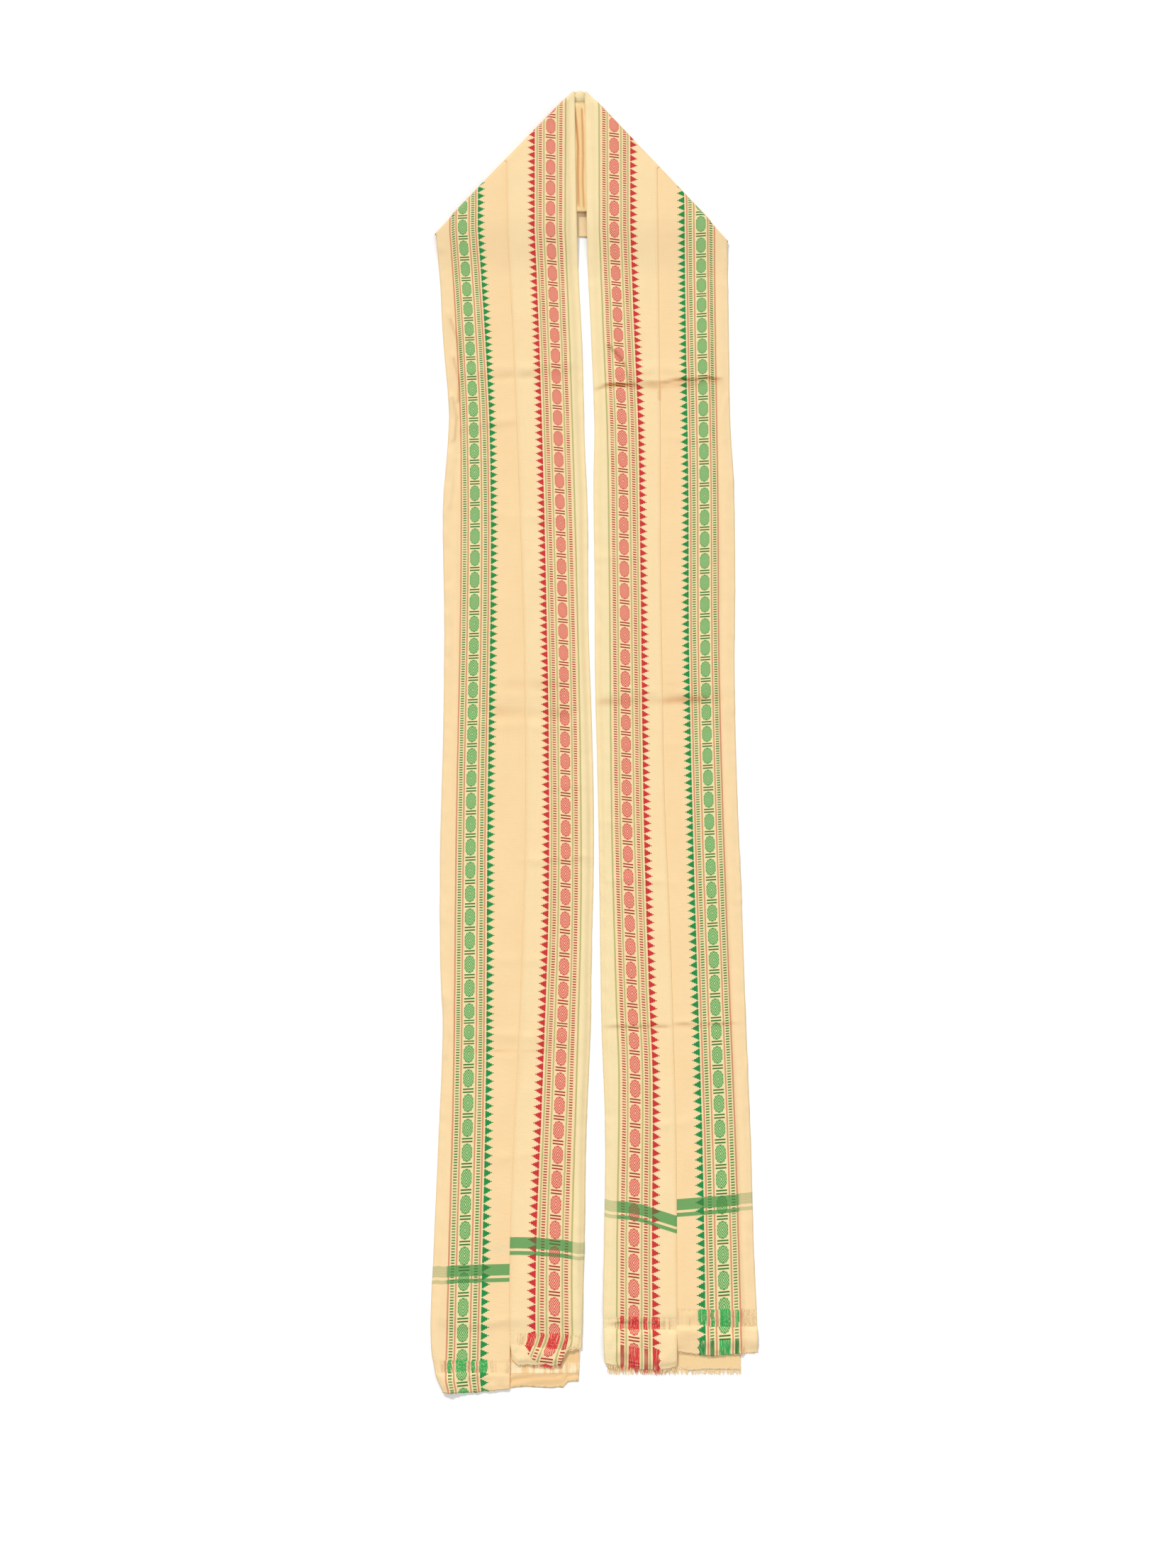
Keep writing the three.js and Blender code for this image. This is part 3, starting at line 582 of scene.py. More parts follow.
def top_panel(key):
    """A bordered panel from its cut end up to and round the slant."""
    panel = PANELS[key]
    strip, edge = panel["strip"], panel["edge"]
    overlap, seam_lift, seam_start = SEAMS[panel["side"]]
    share = np.linspace(0, 1, COLUMNS)

    def points_at(y):
        """x and height of the grid at heights y[row][column]."""
        x, z = panel_top(strip, edge, share * (panel_width(strip, edge, y) + overlap), y)
        return x, z + seam_lift * smooth((share - seam_start) / 0.05)

    cut = straight_at(panel["cut"], share) + uneven((share * 50 + 9, 0 * share + 5), 61, (1.4, 3), 0.5)
    meet = meet_slant(strip, points_at, share)
    lower = rows_of(int((SKEW_START - END_ZONE) / ROW_STEP))[1:]
    y = np.concatenate([
        cut + (END_ZONE - cut) * rows_of(60),
        END_ZONE + (SKEW_START - END_ZONE) * lower + 0 * cut,
        SKEW_START + (meet - SKEW_START) * rows_of(80)[1:],
    ])
    x, z = points_at(y)
    looks = looks_at(panel, x, y)
    floats, header = looks[..., FLOATS], looks[..., HEADER]
    z = z - 0.22 * smooth(-floats / 1.2) * smooth((header + 1) / 1.2)
    to_cut = y - cut
    puffed = smooth(-header / 4) * smooth(to_cut / 5)
    here = noise_place(x, y)
    z = z + puffed * (0.7 + uneven(here, 23, (9, 7), 0.7))
    z = z - CUT_SAG * smooth(1 - to_cut / 13) * smooth((share - 0.15) / 0.2)
    z = z + smooth(-floats / 6) * uneven(here, 29, (5, 9), 0.35)
    if key == "left_red":
        x = x - left_red_pull(share, y)
    if key == "left_green":
        x = x + 2.2 * smooth((-492 - y) / 12) * (1 - share)
    top = np.stack([x, y, z], -1)

    # Round the slant and a little way along the underside
    out = slant_frame(strip)[1]
    x_meet, height = points_at(meet)
    radius = height / 2
    inward = np.sign(x_meet[-1] - x_meet[0])
    row = np.arange(1, WRAP_ROWS + 2)[:, None]
    angle = math.pi * np.minimum(row / WRAP_ROWS, 1)
    tongue = np.where(row > WRAP_ROWS, TONGUE, 0)
    reach = radius * np.sin(angle) - tongue
    wrap = [x_meet + out[0] * reach, meet + out[1] * reach, radius * (1 + np.cos(angle))]
    moved = np.repeat(looks[-1:], len(row), axis=0)
    travelled = radius * angle + tongue
    moved[..., 0] += travelled * out[0] * inward
    moved[..., 1] += travelled * (out[1] + panel["skew"] * out[0]) / REPEAT
    # Painted shade laid round the fold of the slant
    moved[..., SHADE] = np.maximum(moved[..., SHADE], RIM_SHADE * np.sin(angle))
    top = np.concatenate([top, np.stack(wrap, -1)])
    looks = np.concatenate([looks, moved])
    return shell(key + "_cloth", *fold_edge(top, looks))


def neck_panel(side):
    """A panel on the underside of the neck, from slant to slant, its wrong side up."""
    ends = []
    share = np.linspace(0, 1, COLUMNS)
    inner = side == "red"
    near_top = smooth((0.19 - share) / 0.08) if inner else 0 * share
    for strip_name in ("left_", "right_"):
        panel = PANELS[strip_name + side]
        strip, edge = panel["strip"], panel["edge"]

        def line_at(y, strip=strip, edge=edge):
            return panel_top(strip, edge, share * (panel_width(strip, edge, y) - GAP / 2), y)

        meet = meet_slant(strip, line_at, share)
        out = slant_frame(strip)[1]
        # Near the apex the cloth lies over the tongues and reaches into the folds
        back = (TONGUE + GAP) * (1 - near_top) + 0.6 * near_top
        ends.append((line_at(meet)[0] - out[0] * back, meet - out[1] * back))
        inset = share * panel_width(strip, edge, meet)
    rows = rows_of(110)
    x = ends[0][0] + (ends[1][0] - ends[0][0]) * rows
    y = ends[0][1] + (ends[1][1] - ends[0][1]) * rows
    # Between the folds the selvage runs level, and the cloth lies square to it
    level = np.sin(np.pi * rows) ** 0.3 if inner else np.clip(6 * np.minimum(rows, 1 - rows), 0, 1)
    corners = [strip["slant"][0][1] for strip in (LEFT, RIGHT)]
    selvage_y = BAND_TOP if inner else corners[0] + (corners[1] - corners[0]) * rows
    square_y = selvage_y + (-inset if inner else inset)
    y = y + (square_y - y) * level * smooth((0.42 - share) / 0.2)
    z = SHEET + 0.05 + near_top * 0.55 + uneven(noise_place(x, y), 31, (14, 12), 0.05)
    along = x / REPEAT
    if inner:
        z = z + near_top * 0.5 * np.sin(np.pi * rows) * smooth(share / 0.06)
    under = plain_looks(inset - 21.3 + 0 * x, along)
    upper = under if inner else plain_looks(-80.0 - inset + 0 * x, along)
    return shell(f"neck_{side}_cloth", np.stack([x, y, z], -1), upper, under)


# Heights of the hidden layers' middle surfaces over what they lie on, and the fold between
BASE_Z, SECOND_Z = 0.25, 1.7
HAIRPIN = (SECOND_Z - BASE_Z) / 2
SECOND_WIDTH = 46


def folded_section(width, flat_steps):
    """A section folded over at both edges, from one end of its second layer to the other:
    whether each point is on the first side, then its distance in from the fold, its height and
    its share of the way onto the second layer."""
    base = [(d, BASE_Z, 0.0) for d in np.linspace(width, HAIRPIN, flat_steps)]
    turn = [
        (HAIRPIN - HAIRPIN * math.sin(a), BASE_Z + HAIRPIN * (1 - math.cos(a)), a / math.pi)
        for a in np.linspace(0, math.pi, 9)[1:-1]
    ]
    half = base + turn + [(d, SECOND_Z, 1.0) for d in np.linspace(HAIRPIN, width, flat_steps)]
    points = np.array(half[::-1] + half)
    return np.arange(len(points)) < len(half), *points.T


def strip_layers(strip, name):
    """The folded middle of a strip: base, two lengthwise folds, and the second layer's halves."""
    side, depth, height, second = folded_section(SECOND_WIDTH, 14)
    end = np.where(second > 0.5, strip["second_end"] + LAYER_STEP + 0.5, strip["base_end"])
    ease = smooth(np.abs(second - 0.5) * 2)
    end = end * ease + (1 - ease) * (strip["second_end"] + strip["base_end"]) / 2

    def place(y):
        fold_outer, fold_inner = (fold_x(strip, edge, y) for edge in (OUTER, INNER))
        centre = (fold_outer + fold_inner) / 2
        half_width = np.abs(fold_outer - fold_inner) / 2
        fold = np.where(side, fold_outer, fold_inner)
        return fold + np.sign(centre - fold) * depth * (half_width - 0.3) / SECOND_WIDTH

    inset = BAND_HEIGHT + GAP / 2 - 1.4
    top_y = meet_slant(strip, lambda y: (place(y), 2 * inset), side.astype(float))
    end_x = place(end)
    on_base = second < 0.2
    end = end + on_base * uneven((end_x + 400, end * 0 + 77), 43, (6, 9), 0.9)
    if strip is LEFT:
        end = end + on_base * 4.6 * smooth((end_x + 19) / 4)
    else:
        end = end - on_base * FRINGE_ROOT
    rows = np.concatenate([np.linspace(0, 0.06, 36), np.linspace(0.06, 1, 245)[1:]])[:, None]
    y = end + (top_y - end) * rows
    x = place(y)
    z = lift(y) + height + uneven(noise_place(x, y), 41, (17, 23), 0.1)
    looks = plain_looks(x, y / REPEAT)
    if strip is LEFT:
        for tuck_height, reach in tucks_at(BASE_TUCKS, x, y):
            z = z + on_base * tuck_height * reach
        looks[..., FLOATS] = y - BASE_FLOATS[0]
        looks[..., HEADER] = y - BASE_FLOATS[1]
    looks[..., FRAYED] = y - end
    return shell(name, np.stack([x, y, z], -1), looks)


def neck_layers(name):
    """The folded middle under the neck: its wrong side lies on top and shows in the gap."""
    upper, depth, height, _ = folded_section((BAND_HIGH - BAND_LOW) / 2, 24)
    y_line = np.where(upper, BAND_HIGH - depth, BAND_LOW + depth)
    inset = BAND_HEIGHT + GAP / 2 - 1.0
    start, stop = (
        a[0] + (-inset - (y_line - a[1]) * out[1]) / out[0] for a, out in map(slant_frame, (LEFT, RIGHT))
    )
    rows = rows_of(150)
    x = start + (stop - start) * rows
    y = y_line + 0 * x
    # Base on top and second layer below, so the profile hangs from the band's top
    z = WALL + GAP + 2 * LAYER - height
    gap_share = np.exp(-(((x + 6) / 14) ** 2))
    wrinkle = uneven((x * 2.2 + 400, y * 0.25 + 600), 51, (5, 9), 0.25) * gap_share
    looks = plain_looks(y, x / REPEAT)
    looks[..., DYED] = np.exp(-(((y_line - BAND_HIGH + 0.2 + 0 * x) / 0.5) ** 2))
    for tuck_height, reach in tucks_at(NECK_TUCKS, x, y):
        wrinkle = wrinkle + tuck_height * reach
        # Painted shade along each wrinkle, deeper in its troughs
        tone = max(-tuck_height, 0.1) * reach
        looks[..., SHADE] = np.maximum(looks[..., SHADE], tone)
    z = z + np.where(height < 1, wrinkle, 0)
    return shell(name, np.stack([x, y, z], -1), looks)


def warp_threads(key, starts, ends, loose, seed, spread, shares=(0.01, 0.99), drop=0.0, plain=1.0):
    """Loose warp threads of a panel from one line across it to another, and where each lies
    from the motif line. plain is the share of them that shows outside the border."""
    panel = PANELS[key]
    strip, edge = panel["strip"], panel["edge"]
    rng = np.random.RandomState(seed)
    count = int(56 * (shares[1] - shares[0]) / THREAD_PITCH)
    share = np.linspace(*shares, count) + rng.uniform(-0.003, 0.003, count)
    start = straight_at(starts, share)
    end = straight_at(ends, share)
    length = 1 - loose * rng.uniform(0, 1, count) ** 1.5
    steps = np.linspace(0, 1, 6)[None, :]
    y = start[:, None] + ((end - start) * length)[:, None] * steps
    x, z = panel_top(strip, edge, share[:, None] * panel_width(strip, edge, y), y)
    looks = looks_at(panel, x, y)
    if key == "left_red":
        x = x - left_red_pull(share[:, None], y)
    lean = rng.normal(0, spread, count)[:, None] * steps**1.6
    curl = rng.normal(0, spread * 0.5, count)[:, None] * np.sin(steps * math.pi)
    z = z - 0.1 - drop * steps**1.3 + rng.uniform(-0.07, 0.07, count)[:, None]
    in_border = np.abs(looks[:, 0, 0] - 3) < 15
    seen = in_border | (share < panel.get("open_selvage", 0)) | (rng.uniform(0, 1, count) < plain)
    return np.stack([x + lean + curl, y, z], -1)[seen], looks[seen, :, 0]


# Materials


def new_node(tree, kind):
    return tree.nodes.new("ShaderNode" + kind)


def set_input(tree, slot, value):
    """Feeds a number, or a constant, into a node's input."""
    if isinstance(value, Number):
        tree.links.new(value.socket, slot)
    else:
        slot.default_value = value


def set_constants(node, values):
    for name, value in values.items():
        node.inputs[name].default_value = value


class Number:
    """A value inside a material, with plain arithmetic."""

    def __init__(self, tree, socket):
        self.tree, self.socket = tree, socket

    def make(self, operation, *others):
        node = new_node(self.tree, "Math")
        node.operation = operation
        for slot, value in zip(node.inputs, (self, *others)):
            set_input(self.tree, slot, value)
        return Number(self.tree, node.outputs[0])

    def rise(self, low, high):
        """0 below low, 1 above high, smooth between."""
        node = new_node(self.tree, "MapRange")
        node.interpolation_type = "SMOOTHSTEP"
        for name, value in (("Value", self), ("From Min", low), ("From Max", high)):
            set_input(self.tree, node.inputs[name], value)
        return Number(self.tree, node.outputs[0])

    def rest(self):
        """What it leaves of 1."""
        return self * -1.0 + 1.0

    def fall(self, low, high):
        """1 below low, 0 above high."""
        return self.rise(low, high).rest()

    def band(self, centre, half, soft=0.12):
        """1 within half of centre, with soft edges."""
        return abs(self - centre).fall(half - soft, half + soft)


OPERATIONS = {
    "__add__": "ADD", "__sub__": "SUBTRACT", "__mul__": "MULTIPLY", "__truediv__": "DIVIDE",
    "__abs__": "ABSOLUTE", "power": "POWER", "sine": "SINE", "fraction": "FRACT", "floor": "FLOOR",
    "least": "MINIMUM", "most": "MAXIMUM",
}


def arithmetic(operation):
    return lambda number, *others: number.make(operation, *others)


for method, operation in OPERATIONS.items():
    setattr(Number, method, arithmetic(operation))


def linear(colour):
    """sRGB bytes to the linear values that a material takes."""
    shares = [c / 255 for c in colour]
    return tuple(s / 12.92 if s <= 0.04045 else ((s + 0.055) / 1.055) ** 2.4 for s in shares) + (1.0,)


class Cloth:
    """A cloth material: its nodes, the pattern's coordinates, and the colour as it is built up."""

    def __init__(self, name):
        self.material = bpy.data.materials.new(name)
        self.material.use_nodes = True
        self.tree = self.material.node_tree
        self.u, self.v, self.cross = self.attribute("weave")
        self.along = self.v * REPEAT
        self.colour = None

    def attribute(self, name):
        """The three numbers of a point attribute."""
        attribute = new_node(self.tree, "Attribute")
        attribute.attribute_name = name
        split = new_node(self.tree, "SeparateXYZ")
        self.tree.links.new(attribute.outputs["Vector"], split.inputs[0])
        return [Number(self.tree, split.outputs[i]) for i in range(3)]

    def noise(self, vector, scale, detail=2.0, rough=0.5):
        node = new_node(self.tree, "TexNoise")
        self.tree.links.new(vector, node.inputs["Vector"])
        set_constants(node, {"Scale": scale, "Detail": detail, "Roughness": rough})
        return Number(self.tree, node.outputs["Fac"])

    def noise_over(self, x, y, detail=2.0, rough=0.5):
        """Noise by two coordinates, one change to each unit."""
        node = new_node(self.tree, "CombineXYZ")
        for slot, value in zip(node.inputs, (x, y)):
            set_input(self.tree, slot, value)
        return self.noise(node.outputs[0], 1.0, detail, rough)

    def mottle(self, per_u, per_along, detail=2.0, rough=0.5):
        """Noise over the cloth, in changes per millimetre across and along it."""
        return self.noise_over(self.u * per_u, self.along * per_along, detail, rough)

    def mix(self, share, under, over, kind="MIX"):
        node = new_node(self.tree, "Mix")
        node.data_type = "RGBA"
        node.blend_type = kind
        node.clamp_factor = True
        set_input(self.tree, node.inputs[0], share)
        for slot, value in ((node.inputs[6], under), (node.inputs[7], over)):
            if isinstance(value, tuple):
                slot.default_value = linear(value)
            else:
                self.tree.links.new(value, slot)
        return node.outputs[2]

    def paint(self, share, over, kind="MIX"):
        """Lays a colour over what is there."""
        self.colour = self.mix(share, self.colour, over, kind)

    def between(self, fibre, above_floats, above_header):
        """The loose band, where the weft is missing between the weave and the header."""
        ragged = fibre * 3.0 - 1.5
        return (above_floats + ragged).fall(-0.5, 0.5) * (above_header + ragged).rise(-0.5, 0.5)

    def finish(self, height, distance=0.00022):
        bump = new_node(self.tree, "Bump")
        set_constants(bump, {"Strength": 0.55, "Distance": distance})
        shader = self.tree.nodes["Principled BSDF"]
        self.tree.links.new(height.socket, bump.inputs["Height"])
        self.tree.links.new(bump.outputs["Normal"], shader.inputs["Normal"])
        self.tree.links.new(self.colour, shader.inputs["Base Color"])
        set_constants(shader, {"Roughness": 0.82, "Specular IOR Level": 0.2})
        set_constants(shader, {"Sheen Weight": 0.04, "Sheen Roughness": 0.45})
        return self.material


def plain_weave(cloth, field):
    """Lays the ground, with slubs and streaks, and returns the weave's height."""
    slubs = cloth.mottle(0.05, 1.6, 3.0, 0.6)
    streaks = cloth.mottle(1.3, 0.02)
    cloth.colour = cloth.mix(slubs.rise(0.52, 0.75) * 0.25, field, SLUB)
    cloth.paint(streaks.rise(0.55, 0.8) * 0.18, STREAK)
    cloth.paint(cloth.mottle(0.03, 0.022).rise(0.35, 0.75) * 0.22, PATCH)
    warp = (cloth.u * (math.pi / 0.52)).sine()
    weft = (cloth.along * (math.pi / 0.55)).sine()
    return abs(warp * weft) * 0.5 + slubs * 0.9 + streaks * 0.3


def bordered_cloth(name, field, selvage, colours, centre, first_line, spike_line):
    """Plain cloth with a border of medallions, dashes, pinstripes and temple spikes.

    centre is where the medallions lie off the motif line, first_line where the pinstripe next
    to the selvage is, and spike_line where the spikes stand.
    """
    thread, dark, pale, line_colour, halo, floating = colours
    cloth = Cloth(name)
    above_floats, above_header, above_fray = cloth.attribute("ends")
    painted_shade, above_print, smear = cloth.attribute("shade_and_marks")
    height = plain_weave(cloth, field)
    cloth.paint(smear * cloth.mottle(0.5, 0.5).rise(0.3, 0.6) * 0.5, DYE_SMEAR)
    grain = cloth.mottle(2.2, 2.2, 2.0, 0.6)
    fibre = cloth.mottle(2.6, 0.12, 3.0, 0.6)
    wander = cloth.mottle(0.1, 0.05, 1.0) * 0.3 - 0.15
    u = cloth.u + wander - centre
    reach = abs(u)
    printed = above_print.rise(-0.2, 0.3)

    # Where the weft is missing, colours run along the warp
    frayed = (above_fray + fibre * 3.0 - 1.5).fall(-0.5, 0.5)
    loose = cloth.between(fibre, above_floats, above_header).most(frayed)

    # The selvage is a little yellower
    cloth.paint(u.fall(-13.5, -11.5) * 0.8, selvage)

    # Two pinstripes on each side of the medallions
    inner_line = reach.band(5.35, 0.55, 0.2)
    outer_line = u.band(10.75, 0.6, 0.2).most(u.band(first_line, 0.6, 0.2))
    lines = inner_line.most(outer_line) * (grain * 0.5 + 0.72) * printed
    cloth.paint(reach.fall(11.2, 11.6) * printed * 0.45, halo)
    cloth.paint(lines, line_colour)

    # Dashes between the pinstripes
    step = (cloth.v * 9.0 + u * 0.02).fraction()
    row = abs(u - 0.15).band(8.1, 1.3)
    dash = step.band(0.5, 0.25, 0.07).most(loose) * row * printed
    fade = cloth.noise_over(cloth.u * 0.1, cloth.v * 1.1, 1.0).rise(0.25, 0.6)
    cloth.paint(dash * (fade * 0.25 + 0.72), cloth.mix(grain.rise(0.3, 0.7), dark, thread))

    # Medallions, with a pair of bars between each two
    share = (cloth.v + 0.5).fraction()
    m = abs(share - 0.5) * REPEAT
    oval = (reach / 3.85).power(2.4) + (m / 6.2).power(2.4)
    scallop = ((reach * 0.75 - m * 0.42) / 0.3).sine() * 0.09
    medallion = (oval + scallop).fall(0.9, 1.06).most(loose * reach.fall(3.5, 3.9)) * printed
    lattice = reach / 1.2 - m / 2.0 + grain * 0.15 - 0.08
    stripes = abs(lattice.fraction() - 0.5).fall(0.24, 0.34)
    inside = cloth.mix(stripes * 0.95, pale, thread)
    inside = cloth.mix(oval.rise(0.6, 0.9) * 0.6, inside, thread)
    streaked = cloth.mix(fibre.rise(0.54, 0.66) * 0.8, floating, halo)
    cloth.paint(medallion, cloth.mix(loose, inside, streaked))
    from_bars = share.least(share.rest()) * REPEAT
    bars = from_bars.band(1.05, 0.5) * reach.fall(3.7, 3.9) * printed
    cloth.paint(bars, cloth.mix(grain.rise(0.3, 0.7) * 0.6, dark, thread))

    # Temple spikes, three to a repeat, pointing to the midline
    w = u - spike_line
    flat = (w / 1.4).floor() * 1.4
    half = (flat * -0.52 + 2.5).most(w.fall(5.3, 5.7) * 0.32).most(loose * w.fall(3.6, 5.4) * 3.0)
    spike_at = abs((cloth.v * 3.0).fraction() - 0.5) * (REPEAT / 3)
    spike = (spike_at - half).fall(-0.1, 0.1) * w.rise(-0.05, 0.05) * w.fall(5.6, 5.8) * printed
    near = (spike_at - half - 0.75).fall(-0.4, 0.4) * w.rise(-0.8, 0.0) * w.fall(5.0, 5.8)
    cloth.paint(near * printed * 0.5, halo)
    core = cloth.mix((half - spike_at).fall(0.1, 0.5) * 0.25, thread, dark)
    cloth.paint(spike, cloth.mix(loose * fibre.rise(0.52, 0.66) * 0.8, core, halo))

    # Two woven bands across the cloth near its end, stronger off the selvage
    motif = medallion.most(bars).most(dash).most(spike)
    band = cloth.cross.band(0.0, 4.0, 0.25).most(cloth.cross.band(-7.3, 1.4, 0.25))
    picks = (cloth.cross * (2 * math.pi / 1.15)).sine() * 0.12
    body = u.rise(-12.5, -11.0)
    strength = (body * 0.5 + 0.35) * (grain * 0.3 + 0.85) + picks
    banded = cloth.mix(0.9, cloth.colour, CROSS_GREEN, "MULTIPLY")
    cloth.paint(band * strength.least(1.0), banded)
    cover = band * (body * 0.72 + 0.12) * (motif * -0.65 + 1.0) * (picks + 1.0)
    cloth.paint(cover, CROSS_GREEN)

    # Loose threads lie side by side, with painted shade between them
    cloth.paint(loose * fibre.rise(0.5, 0.7) * 0.25, BETWEEN_THREADS)
    # Painted shade along creases, tucks, the midline seam and round the slants
    cloth.paint(painted_shade, PAINTED_SHADE_COLOUR, "MULTIPLY")
    height = height + motif * 0.8 + motif * grain * 0.8 + lines * 0.3 + loose * fibre * 1.2
    return cloth.finish(height)


def plain_cloth(name, field):
    """The unpatterned middle, with loose bands of warp and a ragged end."""
    cloth = Cloth(name)
    above_floats, above_header, above_cut = cloth.attribute("ends")
    painted_shade, _, thread = cloth.attribute("shade_and_marks")
    height = plain_weave(cloth, field)
    cloth.paint(thread * 0.8, NECK_THREAD)
    fibre = cloth.mottle(2.4, 0.1, 3.0, 0.6)
    clumps = cloth.mottle(0.35, 0.02)
    frayed = (above_cut - fibre * 2.5).fall(-0.4, 0.6)
    loose = cloth.between(fibre, above_floats, above_header).most(frayed)
    cloth.paint(loose * clumps.rise(0.4, 0.55) * 0.8, PALE_CLUMP)
    # Painted shade between the loose threads
    cloth.paint(loose * fibre.rise(0.52, 0.66) * 0.45, SHADED_WARP)
    # Painted shade along creases and the neck's wrinkles
    cloth.paint(painted_shade, PAINTED_SHADE_COLOUR, "MULTIPLY")
    return cloth.finish(height + loose * fibre * 2.5)


def thread_material(name, colours):
    """Warp threads, dyed where they run on from the border."""
    _, dark, _, line_colour, halo, floating = colours
    cloth = Cloth(name)
    place = new_node(cloth.tree, "TexCoord").outputs["Object"]
    tone = cloth.noise(place, 900.0)
    reach = abs(cloth.u)
    dyed = cloth.mix(tone.rise(0.1, 0.4), dark, floating)
    dyed = cloth.mix(tone.rise(0.5, 0.7) * 0.45, dyed, halo)
    coloured = reach.fall(3.6, 3.9).most(reach.band(8.1, 1.3)).most(cloth.u.band(15.2, 2.9))
    pick = cloth.noise_over(cloth.u * 3.0, 0.0).rise(0.36, 0.42)
    cloth.colour = cloth.mix(tone.rise(0.35, 0.7) * 0.7, *WARP)
    cloth.paint(reach.band(5.35, 0.6).most(reach.band(10.75, 0.6)), line_colour)
    cloth.paint(coloured * pick, dyed)
    return cloth.finish(tone, distance=0.00008)


def ride(piece, material, slot, *nodes):
    piece.data.materials.append(material)
    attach(piece, BODY)
    if nodes:
        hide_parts(*nodes)


def add_threads(name, sets, material, *nodes):
    """One piece of flat three-sided threads, from sets of paths [thread][point][xyz], u along
    each, and radius."""
    paths, u = (np.concatenate([part[i] for part in sets]) for i in (0, 1))
    radius = np.concatenate([np.full((len(part[0]), 1, 1, 1), part[2]) for part in sets])
    ring = radius * np.array([(-1, 0, -0.25), (1, 0, -0.25), (0, 0, 0.2)])
    points = (paths[:, :, None, :] + ring).reshape(-1, 3)
    index = np.arange(len(points)).reshape(*u.shape, 3)
    low, high = index[:, :-1], index[:, 1:]
    faces = index[:, 0, ::-1].tolist() + index[:, -1].tolist()
    for i, j in ((0, 1), (1, 2), (2, 0)):
        sides = np.stack([low[..., i], low[..., j], high[..., j], high[..., i]], -1)
        faces += sides.reshape(-1, 4).tolist()
    weave = plain_looks(np.repeat(u.ravel(), 3), points[:, 1] / REPEAT)[:, :3]
    piece = new_mesh(name, points, faces, {"weave": weave}, rounded=False)
    ride(piece, material, "warp_threads", *nodes)
    return piece


def shifted(table, amount):
    return [(share, y + amount) for share, y in table]


def panel_threads(key, seed, fringe, shares, material):
    """A panel's loose band, and its fringe where a solid stands for one."""
    panel = PANELS[key]
    cut = panel["cut"]
    band = shifted(panel["weave_end"], 0.8), shifted(panel["header_start"], -0.8)
    sets = [(*warp_threads(key, *band, 0.0, 60 + seed, 0.10, plain=0.25), 0.23)]
    if not fringe:
        return add_threads(key + "_threads", sets, material)
    root = shifted(cut, 0.8 + 0.7 * panel["fray"])
    paths, u = warp_threads(key, root, shifted(cut, -fringe), 0.22, 80 + seed, 0.45, shares, 0.1)
    paths[..., 2] -= CUT_SAG * smooth((np.linspace(*shares, len(paths))[:, None] - 0.15) / 0.2)
    sets.append((paths, u, 0.21))
    return add_threads(key + "_threads", sets, material, key + "_fringe")


def base_threads(material):
    """The fringe on the right strip's base layer."""
    rng = np.random.RandomState(97)
    y0 = RIGHT["base_end"]
    x0, x1 = (float(fold_x(RIGHT, edge, y0)) for edge in (INNER, OUTER))
    count = int(abs(x1 - x0) / THREAD_PITCH)
    x = np.linspace(x0 + 0.5, x1 - 0.5, count)[:, None]
    steps = np.linspace(0, 1, 6)[None, :]
    reach = BASE_FRINGE * (1 - 0.4 * rng.uniform(0, 1, count)[:, None])
    lean = rng.normal(0, 0.5, count)[:, None] * steps**1.6
    paths = np.stack([x + lean, y0 + 0.6 - (reach + 0.6) * steps, 0.28 + 0 * x - 0.06 * steps], -1)
    threads = [(paths, PLAIN_LOOKS[0] + 0 * x * steps, 0.25)]
    return add_threads("right_base_threads", threads, material, "right_base_fringe")


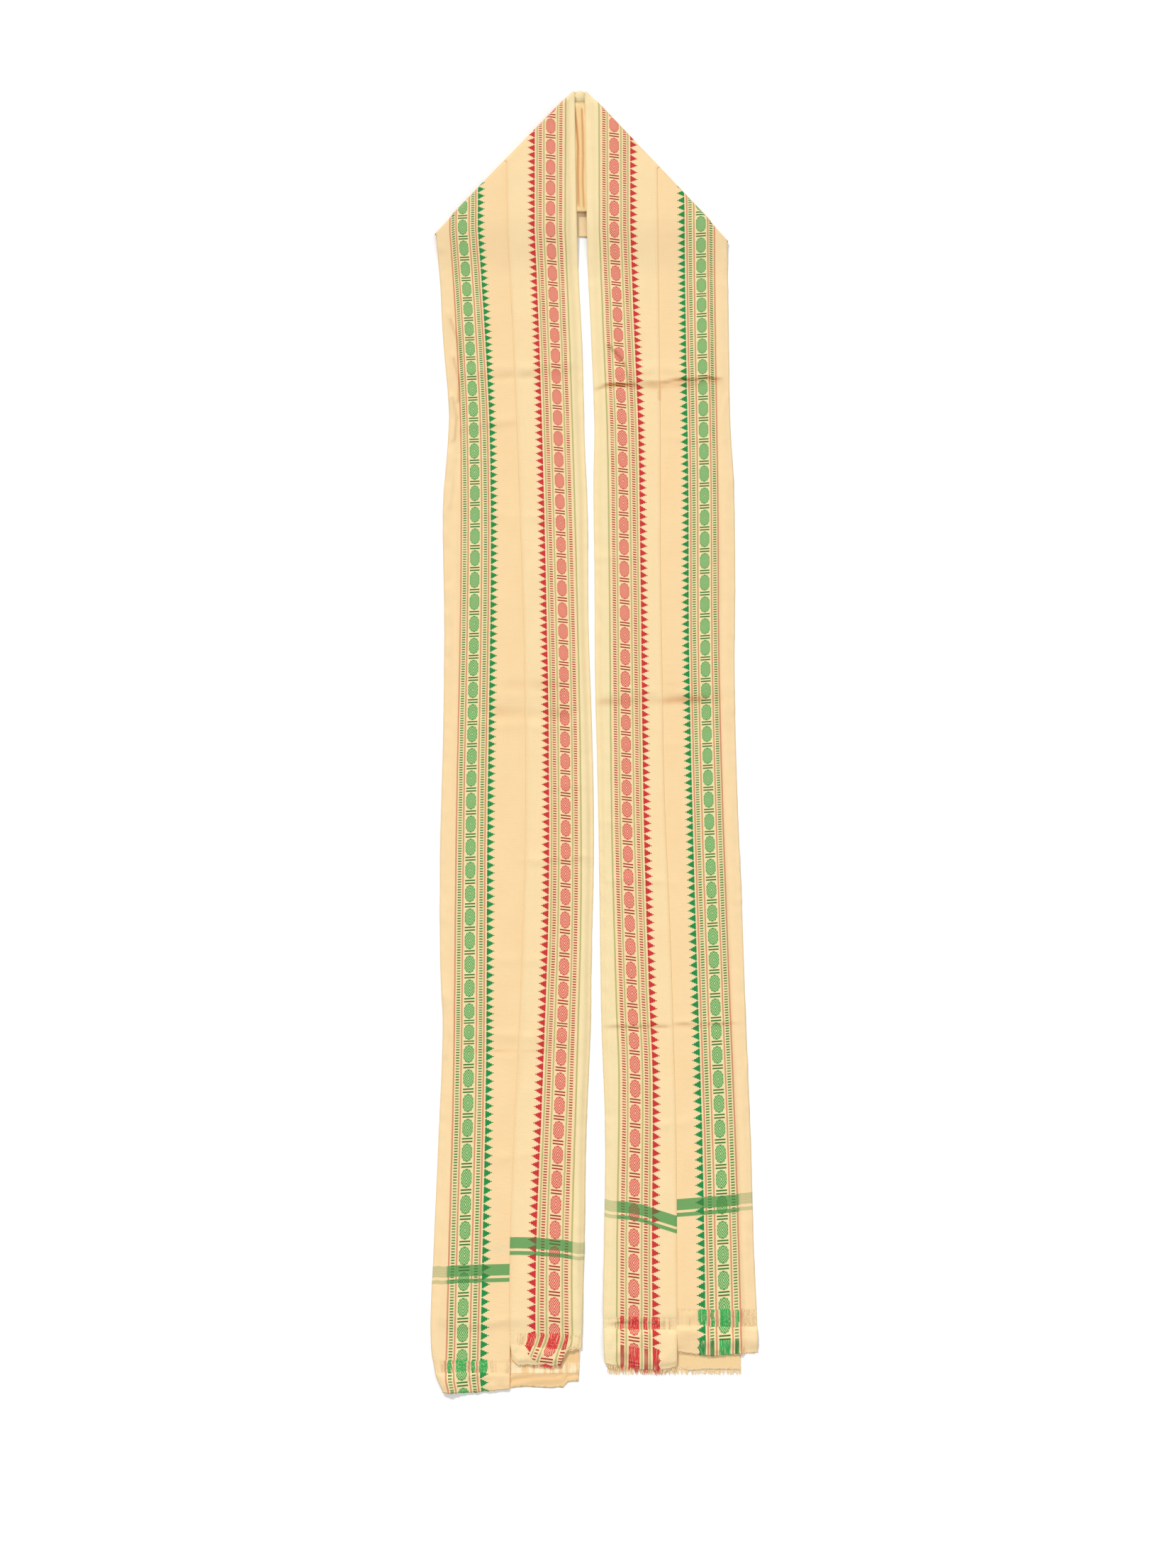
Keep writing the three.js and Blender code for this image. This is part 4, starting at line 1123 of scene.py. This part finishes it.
def make_pieces():
    sides = {
        "green": bordered_cloth("green_side", PEACH, PEACH_SELVAGE, GREENS, 0.55, -10.7, 12.5),
        "red": bordered_cloth("red_side", CREAM, CREAM_SELVAGE, REDS, 0.15, -11.65, 12.6),
    }
    plain = plain_cloth("plain_middle", TAN)
    peach_plain = plain_cloth("peach_middle", PEACH_TAN)
    # The neck's copy of the plain cloth, painted lighter against the shade of its recess
    lit_neck_plain = plain_cloth("lit_neck_middle", LIT_NECK_TAN)
    threads = {"green": thread_material("green_warp", GREENS), "red": thread_material("red_warp", REDS)}

    loose = {
        key: panel_threads(key, seed, *FRINGES[key], threads[panel["side"]])
        for seed, (key, panel) in enumerate(PANELS.items())
    }
    base_fringe = base_threads(threads["red"])
    for key, panel in PANELS.items():
        piece = top_panel(key)
        side = panel["side"]
        ride(piece, sides[side], f"cloth_{side}_side", key + "_panel")
    for side, material in sides.items():
        piece = neck_panel(side)
        ride(piece, material, f"cloth_{side}_side", f"neck_{side}_panel")
    for strip, middle in ((LEFT, plain), (RIGHT, peach_plain)):
        name = strip["name"]
        piece = strip_layers(strip, name + "_layers")
        ride(piece, middle, "plain_cloth", name + "_underlayers")
    neck = neck_layers("neck_layers")
    ride(neck, lit_neck_plain, "plain_cloth", "neck_underlayers")


# Stage, light and camera, which aren't part of the object

PHOTO_HEIGHT = 2212
FOCAL_PIXELS = 1660
CAMERA_HEIGHT = 897
CAMERA_TILT = math.radians(5.0)
CAMERA_FOOT = (-1.43, -135.42)
SENSOR = 36.0


def make_camera():
    data = bpy.data.cameras.new("photo_view")
    data.sensor_fit = "VERTICAL"
    data.sensor_height = SENSOR
    data.lens = SENSOR * FOCAL_PIXELS / PHOTO_HEIGHT
    camera = linked("photo_view", data)
    camera.location = (CAMERA_FOOT[0] * MM, CAMERA_FOOT[1] * MM, CAMERA_HEIGHT * MM)
    camera.rotation_euler = (CAMERA_TILT, 0, 0)
    bpy.context.scene.camera = camera


def make_floor():
    mesh = bpy.data.meshes.new("floor")
    mesh.from_pydata([(-6, -6, 0), (6, -6, 0), (6, 6, 0), (-6, 6, 0)], [], [(0, 1, 2, 3)])
    material = bpy.data.materials.new("floor")
    material.use_nodes = True
    shader = material.node_tree.nodes["Principled BSDF"]
    shader.inputs["Base Color"].default_value = (0.97, 0.97, 0.97, 1)
    shader.inputs["Roughness"].default_value = 0.9
    mesh.materials.append(material)
    linked("floor", mesh)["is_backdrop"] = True


def sun(name, elevation, azimuth, power, spread):
    """A distant light, from an azimuth counted from +X towards +Y."""
    data = bpy.data.lights.new(name, "SUN")
    data.energy = power
    data.angle = math.radians(spread)
    linked(name, data).rotation_euler = (0, math.radians(90 - elevation), math.radians(azimuth))


def make_light():
    world = bpy.data.worlds.new("studio")
    bpy.context.scene.world = world
    world.use_nodes = True
    background = world.node_tree.nodes["Background"]
    background.inputs["Color"].default_value = (1, 1, 1, 1)
    background.inputs["Strength"].default_value = 0.48
    sun("key", 30, 108, 2.5, 7)
    sun("fill", 50, -30, 0.75, 60)
    bpy.context.scene.view_settings.view_transform = "Standard"


make_camera()
make_floor()
make_light()
make_pieces()

sizes = {"cad": CAD_BOX, "visual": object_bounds()}
{key: [list(map(float, corner)) for corner in box] for key, box in sizes.items()}
